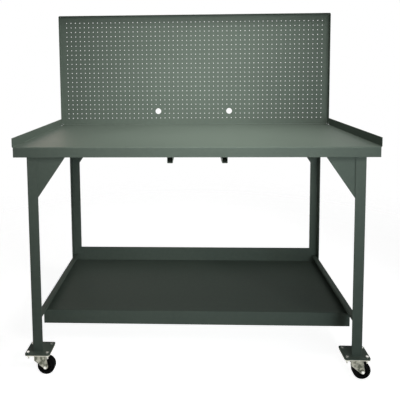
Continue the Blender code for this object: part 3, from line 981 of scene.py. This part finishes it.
def build_kingpins(sizes, casters):
    """The pin with its pressed upper race, and the riveted head under the fork."""
    for corner in corners:
        node = f"kingpin_{corner}"
        lowest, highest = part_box(node)
        race_radius = (highest.x - lowest.x) / 2
        race_top = low(f"caster_plate_{corner}").z - sizes.clearance
        race_bottom = race_top - casters.race_height
        head_top = lowest.z + casters.kingpin_head
        head_radius = casters.kingpin_radius + (race_radius - casters.kingpin_radius) / 3
        groove = casters.race_height / 3
        points = [
            (0, highest.z),
            (casters.kingpin_radius, highest.z),
            (casters.kingpin_radius, race_top),
            (race_radius - groove, race_top),
            (race_radius, race_top - groove),
            (race_radius, race_bottom + groove),
            (race_radius - groove / 2, race_bottom),
            (casters.kingpin_radius, race_bottom),
            (casters.kingpin_radius, head_top),
            (head_radius, head_top),
            (head_radius - casters.kingpin_head / 3, lowest.z + casters.kingpin_head / 3),
            (casters.kingpin_radius / 2, lowest.z),
            (0, lowest.z),
        ]
        solid = bmesh.new()
        turned(solid, points, pin_facets)
        settle(solid, sizes.clearance)
        round_edges(solid, casters.moulded_edge, turn=sharp_turn)
        pivot = joint_places[f"swivel_{corner}"]
        matrix = turn_to((pivot.x, pivot.y, 0))
        add_piece(f"{node}_race", solid, zinc(), [node], "bench", matrix)


def tangent_turn(away, radius, side):
    """The direction from a circle's centre to where a line from a point away from it touches it."""
    return atan2(away.y, away.x) + side * acos(radius / away.length)


def build_forks(sizes, casters):
    """Yokes folded from sheet, cut to a round eye at the axle, with pressed sides."""
    outer = casters.fork_bend + casters.fork_sheet
    for corner in corners:
        node = f"fork_{corner}"
        lowest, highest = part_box(node)
        pivot = joint_places[f"swivel_{corner}"]
        axle = joint_places[f"roll_{corner}"]
        front = pivot.x - lowest.x
        trail = axle.x - pivot.x
        flat_y = (highest.y - lowest.y) / 2 - outer
        eye = Vector((trail, axle.z))
        knee = Vector((-front, highest.z - casters.fork_knee))
        shoulder = Vector((casters.fork_shoulder, highest.z))
        reach = trail + casters.fork_eye
        sheet = blank(front + reach, 2 * flat_y)
        bmesh.ops.translate(sheet, verts=sheet.verts, vec=((reach - front) / 2, 0, 0))
        for side in (-1, 1):
            edges = edges_at(sheet, 1, side * flat_y, sizes.clearance)
            fold(sheet, edges, (0, side, 0), -1, outer, highest.z - eye.y + casters.fork_eye)
        bmesh.ops.translate(sheet, verts=sheet.verts, vec=(0, 0, highest.z))
        first = tangent_turn(knee - eye, casters.fork_eye, 1)
        last = tangent_turn(shoulder - eye, casters.fork_eye, -1) + 2 * pi
        for step in range(eye_facets + 1):
            turn = first + (last - first) * step / eye_facets
            normal = Vector((cos(turn), 0, sin(turn)))
            point = Vector((eye.x, 0, eye.y)) + normal * casters.fork_eye
            everything = sheet.verts[:] + sheet.edges[:] + sheet.faces[:]
            bmesh.ops.bisect_plane(
                sheet, geom=everything, plane_co=point, plane_no=normal, clear_outer=True
            )
        press_sides(sheet, casters, sizes.clearance)
        finish_sheet(sheet, casters.fork_sheet, sizes)
        matrix = turn_to((pivot.x, pivot.y, 0))
        body = f"caster_{corner}"
        fork = add_piece(f"{node}_yoke", sheet, yellow_zinc(), [node], body, matrix)
        across = highest.y - lowest.y + outer
        top = turn_to((pivot.x, pivot.y, highest.z))
        bore(fork, casters.kingpin_radius + sizes.clearance, outer * 2, top)
        bore(fork, casters.axle_radius + sizes.clearance, across, turn_to(axle, (pi / 2, 0, 0)))


def press_sides(sheet, casters, clearance):
    """Presses the middle of each side plate in, inside a flat rim."""
    turn_flat_up(sheet, clearance)
    for side in (-1, 1):
        plates = [face for face in sheet.faces if face.normal.y * side > cos(flat_turn)]
        plate = max(plates, key=lambda face: face.calc_area())
        for width, depth in ((casters.fork_rim, 0), (casters.fork_press, -casters.fork_press)):
            bmesh.ops.inset_region(sheet, faces=[plate], thickness=width, depth=depth, use_even_offset=True)


def build_axles(sizes, casters):
    """Bolt with its head at the front of the fork, and a nut and thread end at the back."""
    for corner in corners:
        node = f"axle_{corner}"
        lowest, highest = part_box(node)
        axle = joint_places[f"roll_{corner}"]
        head_radius = (highest.x - lowest.x) / 2
        head_seat = lowest.y - axle.y + casters.axle_head
        solid = bolt_and_nut(
            (head_seat, -casters.axle_head),
            (-head_seat, casters.axle_nut),
            head_radius,
            casters.axle_radius,
            highest.y - axle.y,
            casters,
            pin_facets,
        )
        settle(solid, sizes.clearance)
        matrix = turn_to(axle, (-pi / 2, 0, 0))
        add_piece(f"{node}_bolt", solid, bolt_zinc(), [node], f"caster_{corner}", matrix)


def build_wheel_cores(sizes, casters):
    """Rim, web and hub in one moulding, bored for the axle."""
    for corner in corners:
        node = f"wheel_core_{corner}"
        lowest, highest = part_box(node)
        axle = joint_places[f"roll_{corner}"]
        rim = (highest.x - lowest.x) / 2
        hub_half = (highest.y - lowest.y) / 2
        rim_half = extent(f"tyre_{corner}").y / 2 - casters.rim_inset
        web_half = casters.web / 2
        bore_radius = casters.axle_radius + sizes.clearance
        upper = [
            (bore_radius, hub_half),
            (casters.hub_radius, hub_half),
            (casters.hub_radius + casters.moulded_edge, web_half),
            (rim - casters.rim_depth - casters.moulded_edge, web_half),
            (rim - casters.rim_depth, rim_half),
            (rim, rim_half),
        ]
        lower = [(radius, -height) for radius, height in reversed(upper)]
        solid = bmesh.new()
        turned(solid, upper + lower, wheel_facets)
        settle(solid, sizes.clearance)
        round_edges(solid, casters.moulded_edge, turn=sharp_turn)
        matrix = turn_to(axle, (-pi / 2, 0, 0))
        add_piece(f"{node}_moulding", solid, moulded_core(), [node], f"wheel_{corner}", matrix)


def build_tyres(sizes, casters):
    """Treads with round shoulders and a faint moulding seam round the middle."""
    for corner in corners:
        node = f"tyre_{corner}"
        size = extent(node)
        axle = joint_places[f"roll_{corner}"]
        radius, half = size.x / 2, size.y / 2
        seat = radius - casters.tread_depth
        seam = casters.tread_seam
        bend = casters.tread_round
        turns = [pi / 2 * step / bend_facets for step in range(bend_facets + 1)]
        shoulder = [(radius - bend + bend * sin(turn), half - bend + bend * cos(turn)) for turn in turns]
        upper = [(seat, half), *shoulder, (radius, seam), (radius - seam, seam / 2)]
        lower = [(radius, -height) for radius, height in reversed(upper)]
        solid = bmesh.new()
        turned(solid, upper + lower, wheel_facets)
        settle(solid, sizes.clearance)
        matrix = turn_to(axle, (-pi / 2, 0, 0))
        add_piece(f"{node}_tread", solid, moulded_tread(), [node], f"wheel_{corner}", matrix)


def build_caster_bolts(sizes, casters):
    """Head on the foot plate, nut under the caster plate, and the end of the thread below it."""
    for corner in corners:
        head_seat = high(f"foot_plate_{corner}").z + sizes.clearance
        nut_seat = low(f"caster_plate_{corner}").z - sizes.clearance
        for number in range(1, 5):
            node = f"caster_bolt_{corner}_{number}"
            lowest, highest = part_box(node)
            solid = bolt_and_nut(
                (head_seat, casters.bolt_head),
                (nut_seat, -casters.bolt_nut),
                (highest.x - lowest.x) / 2,
                casters.bolt_radius,
                lowest.z,
                casters,
                bore_facets,
            )
            settle(solid, sizes.clearance)
            center = middle(node)
            matrix = turn_to((center.x, center.y, 0))
            add_piece(f"{node}_fastener", solid, bolt_zinc(), [node], "bench", matrix)


# Shared effects of the finishes


def new_group(name, inputs, outputs):
    """A shader node group, with its nodes and links, and the sockets it takes in and gives out."""
    group = bpy.data.node_groups.new(name, "ShaderNodeTree")
    for socket_name, socket_type, default in inputs:
        socket = group.interface.new_socket(name=socket_name, in_out="INPUT", socket_type=socket_type)
        socket.default_value = default
    for socket_name, socket_type in outputs:
        group.interface.new_socket(name=socket_name, in_out="OUTPUT", socket_type=socket_type)
    taken = group.nodes.new("NodeGroupInput").outputs
    given = group.nodes.new("NodeGroupOutput").inputs
    return group, group.nodes, group.links, taken, given


def feed(links, value, socket):
    """Joins another node's output to the socket, or sets the socket to a number or colour."""
    if isinstance(value, bpy.types.NodeSocket):
        links.new(value, socket)
    else:
        socket.default_value = value


def object_place(nodes):
    return nodes.new("ShaderNodeTexCoord").outputs["Object"]


def noise(nodes, links, scale, detail):
    """Noise over the piece's own coordinates, from 0 to 1."""
    texture = nodes.new("ShaderNodeTexNoise")
    texture.inputs["Detail"].default_value = detail
    feed(links, scale, texture.inputs["Scale"])
    links.new(object_place(nodes), texture.inputs["Vector"])
    return texture.outputs["Fac"]


def calculate(nodes, links, operation, first, second):
    node = nodes.new("ShaderNodeMath")
    node.operation = operation
    feed(links, first, node.inputs[0])
    feed(links, second, node.inputs[1])
    return node.outputs[0]


def remap(nodes, links, value, low_in, high_in, low_out, high_out):
    node = nodes.new("ShaderNodeMapRange")
    links.new(value, node.inputs["Value"])
    limits = {"From Min": low_in, "From Max": high_in, "To Min": low_out, "To Max": high_out}
    for name, number in limits.items():
        node.inputs[name].default_value = number
    return node.outputs["Result"]


def mixed(nodes, links, factor, first, second):
    node = nodes.new("ShaderNodeMix")
    node.data_type = "RGBA"
    for name, kind, value in (("Factor", "VALUE", factor), ("A", "RGBA", first), ("B", "RGBA", second)):
        socket = next(item for item in node.inputs if item.name == name and item.type == kind)
        feed(links, value, socket)
    return next(item for item in node.outputs if item.type == "RGBA")


def seen_rays(nodes, links):
    """1 for the rays that show the background: straight to the eye, in a reflection or through glass."""
    path = nodes.new("ShaderNodeLightPath").outputs
    seen = calculate(nodes, links, "MAXIMUM", path["Is Camera Ray"], path["Is Glossy Ray"])
    return calculate(nodes, links, "MAXIMUM", seen, path["Is Transmission Ray"])


def cloud_group():
    """Slow drift of a finish's colour and gloss over a hand's width."""
    if "Finish Clouds" in bpy.data.node_groups:
        return bpy.data.node_groups["Finish Clouds"]
    group, nodes, links, taken, given = new_group(
        "Finish Clouds",
        [
            ("Color", "NodeSocketColor", (1, 1, 1, 1)),
            ("Drift", "NodeSocketFloat", 0.08),
            ("Roughness", "NodeSocketFloat", 0.5),
            ("Gloss Drift", "NodeSocketFloat", 0.05),
            ("Scale", "NodeSocketFloat", 5.0),
        ],
        [("Color", "NodeSocketColor"), ("Roughness", "NodeSocketFloat")],
    )
    wide = noise(nodes, links, taken["Scale"], detail=3.0)
    fine_scale = calculate(nodes, links, "MULTIPLY", taken["Scale"], fine_ratio)
    both = calculate(nodes, links, "ADD", wide, noise(nodes, links, fine_scale, detail=2.0))
    centered = calculate(nodes, links, "SUBTRACT", both, 1.0)
    swing = calculate(nodes, links, "MULTIPLY", centered, taken["Drift"])
    gain = calculate(nodes, links, "ADD", swing, 1.0)
    tinted = nodes.new("ShaderNodeVectorMath")
    tinted.operation = "SCALE"
    links.new(taken["Color"], tinted.inputs[0])
    links.new(gain, tinted.inputs["Scale"])
    links.new(tinted.outputs["Vector"], given["Color"])
    gloss = calculate(nodes, links, "MULTIPLY", centered, taken["Gloss Drift"])
    links.new(calculate(nodes, links, "ADD", taken["Roughness"], gloss), given["Roughness"])
    return group


def edge_group():
    """Where the finish is thin: the folds and rounded edges that the mesh marks, broken up by noise."""
    if "Thin Edges" in bpy.data.node_groups:
        return bpy.data.node_groups["Thin Edges"]
    group, nodes, links, taken, given = new_group(
        "Thin Edges",
        [("Amount", "NodeSocketFloat", 0.5), ("Scale", "NodeSocketFloat", 60.0)],
        [("Mask", "NodeSocketFloat")],
    )
    marked = nodes.new("ShaderNodeAttribute")
    marked.attribute_name = "edge"
    broken = noise(nodes, links, taken["Scale"], detail=4.0)
    patches = remap(nodes, links, broken, low_in=0.35, high_in=0.65, low_out=0.4, high_out=1.0)
    strength = calculate(nodes, links, "MULTIPLY", marked.outputs["Fac"], taken["Amount"])
    links.new(calculate(nodes, links, "MULTIPLY", strength, patches), given["Mask"])
    return group


def grain_group():
    """Fine relief of a sprayed, plated or moulded skin over slower waves of the metal under it."""
    if "Surface Grain" in bpy.data.node_groups:
        return bpy.data.node_groups["Surface Grain"]
    group, nodes, links, taken, given = new_group(
        "Surface Grain",
        [
            ("Fine Scale", "NodeSocketFloat", 600.0),
            ("Wave Scale", "NodeSocketFloat", 6.0),
            ("Wave Height", "NodeSocketFloat", 1.0),
        ],
        [("Height", "NodeSocketFloat")],
    )
    fine = noise(nodes, links, taken["Fine Scale"], detail=1.0)
    wave = noise(nodes, links, taken["Wave Scale"], detail=1.0)
    waves = calculate(nodes, links, "MULTIPLY", wave, taken["Wave Height"])
    links.new(calculate(nodes, links, "ADD", fine, waves), given["Height"])
    return group


def place_group(nodes, group, **values):
    node = nodes.new("ShaderNodeGroup")
    node.node_tree = group
    for name, value in values.items():
        node.inputs[name.replace("_", " ")].default_value = value
    return node


# Materials


def new_material(name):
    """A new material, its nodes, links and shader, or the one made before and no shader."""
    if name in bpy.data.materials:
        return bpy.data.materials[name], None, None, None
    material = bpy.data.materials.new(name)
    material.use_nodes = True
    nodes = material.node_tree.nodes
    return material, nodes, material.node_tree.links, nodes["Principled BSDF"]


def dress(nodes, links, shader, color, clouds, grain, distance, strength):
    """Joins a finish's colour, the gloss of its clouds and the relief of its grain to the shader."""
    links.new(color, shader.inputs["Base Color"])
    links.new(clouds.outputs["Roughness"], shader.inputs["Roughness"])
    bump = nodes.new("ShaderNodeBump")
    bump.inputs["Distance"].default_value = distance
    bump.inputs["Strength"].default_value = strength
    links.new(grain.outputs["Height"], bump.inputs["Height"])
    links.new(bump.outputs["Normal"], shader.inputs["Normal"])


def enamel_like(name, thin_amount, grain_strength):
    finish = bpy.context.scene.bench_finish
    material, nodes, links, shader = new_material(name)
    if shader is None:
        return material
    clouds = place_group(
        nodes,
        cloud_group(),
        Color=(*finish.enamel, 1),
        Drift=0.16,
        Roughness=finish.enamel_gloss,
        Gloss_Drift=0.10,
        Scale=4.0,
    )
    thin = place_group(nodes, edge_group(), Amount=thin_amount, Scale=45.0)
    color = mixed(nodes, links, thin.outputs["Mask"], clouds.outputs["Color"], (*finish.enamel_edge, 1))
    shader.inputs["Specular IOR Level"].default_value = 0.07
    grain = place_group(nodes, grain_group(), Fine_Scale=480.0, Wave_Scale=5.0, Wave_Height=6.0)
    dress(nodes, links, shader, color, clouds, grain, distance=0.0006, strength=grain_strength)
    return material


def enamel():
    return enamel_like("bench_enamel", thin_amount=0.3, grain_strength=0.12)


def weld_enamel():
    return enamel_like("weld_enamel", thin_amount=0.0, grain_strength=0.3)


def plated(name, base, stain, drift, scale):
    """Zinc plate: cloudy crystals, a little colour drift and rubbed edges."""
    finish = bpy.context.scene.bench_finish
    material, nodes, links, shader = new_material(name)
    if shader is None:
        return material
    clouds = place_group(
        nodes,
        cloud_group(),
        Color=(*base, 1),
        Drift=drift,
        Roughness=finish.zinc_gloss,
        Gloss_Drift=0.22,
        Scale=scale,
    )
    crystals = noise(nodes, links, scale * crystal_ratio, detail=3.0)
    patches = remap(nodes, links, crystals, low_in=0.40, high_in=0.62, low_out=0.0, high_out=0.55)
    color = mixed(nodes, links, patches, clouds.outputs["Color"], (*stain, 1))
    thin = place_group(nodes, edge_group(), Amount=0.5, Scale=140.0)
    color = mixed(nodes, links, thin.outputs["Mask"], color, (*finish.bolt_zinc, 1))
    shader.inputs["Metallic"].default_value = 1.0
    grain = place_group(nodes, grain_group(), Fine_Scale=900.0, Wave_Scale=60.0, Wave_Height=2.0)
    dress(nodes, links, shader, color, clouds, grain, distance=0.0003, strength=0.12)
    return material


def zinc():
    finish = bpy.context.scene.bench_finish
    # Its stains take the forks' yellow zinc colour, which is darkened as painted shade
    return plated("zinc_plate", finish.zinc, finish.yellow_zinc, drift=0.2, scale=22.0)


def yellow_zinc():
    finish = bpy.context.scene.bench_finish
    # Painted shade: the forks' plating takes the yellow zinc colour, set far below bright plating to stand in
    # for shade on the forks
    return plated("yellow_zinc_plate", finish.yellow_zinc, finish.zinc, drift=0.25, scale=26.0)


def bolt_zinc():
    finish = bpy.context.scene.bench_finish
    return plated("bolt_zinc_plate", finish.bolt_zinc, finish.zinc, drift=0.15, scale=60.0)


def moulded(name, base, roughness, scuff):
    """Black moulding: fine pores, and paler dusty scuffs."""
    material, nodes, links, shader = new_material(name)
    if shader is None:
        return material
    clouds = place_group(
        nodes, cloud_group(), Color=(*base, 1), Drift=0.3, Roughness=roughness, Gloss_Drift=0.15, Scale=30.0
    )
    spots = noise(nodes, links, scale=55.0, detail=5.0)
    dust = remap(nodes, links, spots, low_in=0.52, high_in=0.75, low_out=0.0, high_out=scuff)
    color = mixed(nodes, links, dust, clouds.outputs["Color"], dust_color)
    shader.inputs["Specular IOR Level"].default_value = 0.04
    grain = place_group(nodes, grain_group(), Fine_Scale=1400.0, Wave_Scale=120.0, Wave_Height=0.8)
    dress(nodes, links, shader, color, clouds, grain, distance=0.0003, strength=0.2)
    return material


def moulded_tread():
    return moulded("moulded_tread", bpy.context.scene.bench_finish.tread, roughness=0.70, scuff=0.20)


def moulded_core():
    return moulded("moulded_core", bpy.context.scene.bench_finish.core, roughness=0.55, scuff=0.10)


# Floor, light and camera


def build_camera():
    """The photograph's viewpoint."""
    data = bpy.data.cameras.new("camera")
    data.sensor_width = sensor_mm
    data.lens = lens_mm
    data.shift_x = shift_across
    data.shift_y = shift_up
    turn = (
        Matrix.Rotation(camera_left, 4, "Z")
        @ Matrix.Rotation(pi / 2 - camera_down, 4, "X")
        @ Matrix.Rotation(-camera_roll, 4, "Z")
    )
    camera = add_object("camera", data)
    camera.matrix_world = Matrix.Translation(camera_place) @ turn
    bpy.context.scene.camera = camera


def add_lamp(name, place, target, size, power, color, spread):
    data = bpy.data.lights.new(name, "AREA")
    data.shape = "RECTANGLE"
    data.size, data.size_y = size
    data.energy = power
    data.color = color
    data.spread = radians(spread)
    lamp = add_object(name, data)
    lamp.location = place
    lamp.rotation_euler = (Vector(target) - Vector(place)).to_track_quat("-Z", "Y").to_euler()


def build_world():
    """White to the eye and in reflections, and a dim even glow as light."""
    world = bpy.data.worlds.new("studio")
    bpy.context.scene.world = world
    world.use_nodes = True
    nodes, links = world.node_tree.nodes, world.node_tree.links
    background = nodes["Background"]
    background.inputs["Color"].default_value = white
    seen = seen_rays(nodes, links)
    strength = remap(nodes, links, seen, low_in=0.0, high_in=1.0, low_out=world_glow, high_out=1.0)
    links.new(strength, background.inputs["Strength"])


def build_floor():
    """A round pale floor that fades out into the white, and takes the bench's soft shadow."""
    disc = bmesh.new()
    bmesh.ops.create_circle(disc, cap_ends=True, segments=floor_facets, radius=floor_radius)
    floor = add_object("floor", to_mesh("floor", disc))
    material = bpy.data.materials.new("pale_floor")
    material.use_nodes = True
    nodes, links = material.node_tree.nodes, material.node_tree.links
    shader = nodes["Principled BSDF"]
    shader.inputs["Base Color"].default_value = floor_color
    shader.inputs["Roughness"].default_value = 0.9
    shader.inputs["Specular IOR Level"].default_value = 0.1
    shader.inputs["Emission Color"].default_value = white
    seen = seen_rays(nodes, links)
    links.new(calculate(nodes, links, "MULTIPLY", seen, seen_floor), shader.inputs["Emission Strength"])
    distance = nodes.new("ShaderNodeVectorMath")
    distance.operation = "LENGTH"
    links.new(object_place(nodes), distance.inputs[0])
    fade_start = floor_radius * fade_start_share
    away = distance.outputs["Value"]
    fade = remap(nodes, links, away, low_in=fade_start, high_in=floor_radius, low_out=1.0, high_out=0.0)
    links.new(fade, shader.inputs["Alpha"])
    floor.data.materials.append(material)


# Operators and their panel


class WORKBENCH_OT_worktop(Operator):
    """Fold the worktop with its lips and side stops"""

    bl_idname = "workbench.worktop"
    bl_label = "Worktop"

    def execute(self, context):
        build_worktop(context.scene.bench_sizes)
        return {"FINISHED"}


class WORKBENCH_OT_tool_panel(Operator):
    """Punch and fold the tool panel"""

    bl_idname = "workbench.tool_panel"
    bl_label = "Tool Panel"

    def execute(self, context):
        build_tool_panel(context.scene.bench_sizes, context.scene.peg_sizes)
        return {"FINISHED"}


class WORKBENCH_OT_legs(Operator):
    """Fold the four leg angles"""

    bl_idname = "workbench.legs"
    bl_label = "Legs"

    def execute(self, context):
        build_legs(context.scene.bench_sizes)
        return {"FINISHED"}


class WORKBENCH_OT_gussets(Operator):
    """Cut the four gussets"""

    bl_idname = "workbench.gussets"
    bl_label = "Gussets"

    def execute(self, context):
        build_gussets(context.scene.bench_sizes)
        return {"FINISHED"}


class WORKBENCH_OT_stiffeners(Operator):
    """Fold the two channels under the worktop"""

    bl_idname = "workbench.stiffeners"
    bl_label = "Stiffeners"

    def execute(self, context):
        build_stiffeners(context.scene.bench_sizes)
        return {"FINISHED"}


class WORKBENCH_OT_shelf(Operator):
    """Fold the shelf"""

    bl_idname = "workbench.shelf"
    bl_label = "Shelf"

    def execute(self, context):
        build_shelf(context.scene.bench_sizes)
        return {"FINISHED"}


class WORKBENCH_OT_side_rails(Operator):
    """Fold the two rails that carry the shelf"""

    bl_idname = "workbench.side_rails"
    bl_label = "Side Rails"

    def execute(self, context):
        build_side_rails(context.scene.bench_sizes)
        return {"FINISHED"}


class WORKBENCH_OT_foot_plates(Operator):
    """Cut and drill the four foot plates"""

    bl_idname = "workbench.foot_plates"
    bl_label = "Foot Plates"

    def execute(self, context):
        build_foot_plates(context.scene.bench_sizes, context.scene.caster_sizes)
        return {"FINISHED"}


class WORKBENCH_OT_welds(Operator):
    """Lay the weld beads"""

    bl_idname = "workbench.welds"
    bl_label = "Weld Beads"

    def execute(self, context):
        build_welds(context.scene.bench_sizes)
        return {"FINISHED"}


class WORKBENCH_OT_caster_plates(Operator):
    """Cut and drill the caster plates"""

    bl_idname = "workbench.caster_plates"
    bl_label = "Caster Plates"

    def execute(self, context):
        build_caster_plates(context.scene.bench_sizes, context.scene.caster_sizes)
        return {"FINISHED"}


class WORKBENCH_OT_kingpins(Operator):
    """Turn the kingpins and their races"""

    bl_idname = "workbench.kingpins"
    bl_label = "Kingpins"

    def execute(self, context):
        build_kingpins(context.scene.bench_sizes, context.scene.caster_sizes)
        return {"FINISHED"}


class WORKBENCH_OT_forks(Operator):
    """Fold, cut and press the caster forks"""

    bl_idname = "workbench.forks"
    bl_label = "Forks"

    def execute(self, context):
        build_forks(context.scene.bench_sizes, context.scene.caster_sizes)
        return {"FINISHED"}


class WORKBENCH_OT_axles(Operator):
    """Make the axle bolts and their nuts"""

    bl_idname = "workbench.axles"
    bl_label = "Axles"

    def execute(self, context):
        build_axles(context.scene.bench_sizes, context.scene.caster_sizes)
        return {"FINISHED"}


class WORKBENCH_OT_wheel_cores(Operator):
    """Turn the wheel cores"""

    bl_idname = "workbench.wheel_cores"
    bl_label = "Wheel Cores"

    def execute(self, context):
        build_wheel_cores(context.scene.bench_sizes, context.scene.caster_sizes)
        return {"FINISHED"}


class WORKBENCH_OT_tyres(Operator):
    """Turn the treads"""

    bl_idname = "workbench.tyres"
    bl_label = "Treads"

    def execute(self, context):
        build_tyres(context.scene.bench_sizes, context.scene.caster_sizes)
        return {"FINISHED"}


class WORKBENCH_OT_caster_bolts(Operator):
    """Make the sixteen bolts that hold the casters"""

    bl_idname = "workbench.caster_bolts"
    bl_label = "Caster Bolts"

    def execute(self, context):
        build_caster_bolts(context.scene.bench_sizes, context.scene.caster_sizes)
        return {"FINISHED"}


class WORKBENCH_OT_stage(Operator):
    """Set up the floor, the light and the camera"""

    bl_idname = "workbench.stage"
    bl_label = "Stage"

    def execute(self, context):
        build_camera()
        build_world()
        build_floor()
        for name, settings in lamps.items():
            add_lamp(name, **settings)
        context.scene.view_settings.view_transform = "Standard"
        return {"FINISHED"}


property_groups = {
    "bench_sizes": BenchSizes,
    "peg_sizes": PegSizes,
    "caster_sizes": CasterSizes,
    "bench_finish": BenchFinish,
}
operators = (
    WORKBENCH_OT_stage,
    WORKBENCH_OT_worktop,
    WORKBENCH_OT_tool_panel,
    WORKBENCH_OT_legs,
    WORKBENCH_OT_gussets,
    WORKBENCH_OT_stiffeners,
    WORKBENCH_OT_shelf,
    WORKBENCH_OT_side_rails,
    WORKBENCH_OT_foot_plates,
    WORKBENCH_OT_welds,
    WORKBENCH_OT_caster_plates,
    WORKBENCH_OT_kingpins,
    WORKBENCH_OT_forks,
    WORKBENCH_OT_axles,
    WORKBENCH_OT_wheel_cores,
    WORKBENCH_OT_tyres,
    WORKBENCH_OT_caster_bolts,
)


class WORKBENCH_PT_panel(Panel):
    """Sizes, finishes and build steps of the workbench"""

    bl_idname = "WORKBENCH_PT_panel"
    bl_label = "Mobile Workbench"
    bl_space_type = "VIEW_3D"
    bl_region_type = "UI"
    bl_category = "Workbench"

    def draw(self, context):
        for operator in operators:
            self.layout.operator(operator.bl_idname)
        for name, group in property_groups.items():
            box = self.layout.box()
            box.label(text=group.__doc__)
            for prop in group.__annotations__:
                box.prop(getattr(context.scene, name), prop)


def register():
    for group in property_groups.values():
        bpy.utils.register_class(group)
    for name, group in property_groups.items():
        setattr(bpy.types.Scene, name, PointerProperty(type=group))
    for operator in operators:
        bpy.utils.register_class(operator)
    bpy.utils.register_class(WORKBENCH_PT_panel)


def unregister():
    bpy.utils.unregister_class(WORKBENCH_PT_panel)
    for operator in reversed(operators):
        bpy.utils.unregister_class(operator)
    for name, group in property_groups.items():
        delattr(bpy.types.Scene, name)
        bpy.utils.unregister_class(group)


def main():
    register()
    bpy.ops.workbench.stage()
    bpy.ops.workbench.worktop()
    bpy.ops.workbench.tool_panel()
    bpy.ops.workbench.legs()
    bpy.ops.workbench.gussets()
    bpy.ops.workbench.stiffeners()
    bpy.ops.workbench.shelf()
    bpy.ops.workbench.side_rails()
    bpy.ops.workbench.foot_plates()
    bpy.ops.workbench.welds()
    bpy.ops.workbench.caster_plates()
    bpy.ops.workbench.kingpins()
    bpy.ops.workbench.forks()
    bpy.ops.workbench.axles()
    bpy.ops.workbench.wheel_cores()
    bpy.ops.workbench.tyres()
    bpy.ops.workbench.caster_bolts()


if __name__ == "__main__":
    main()
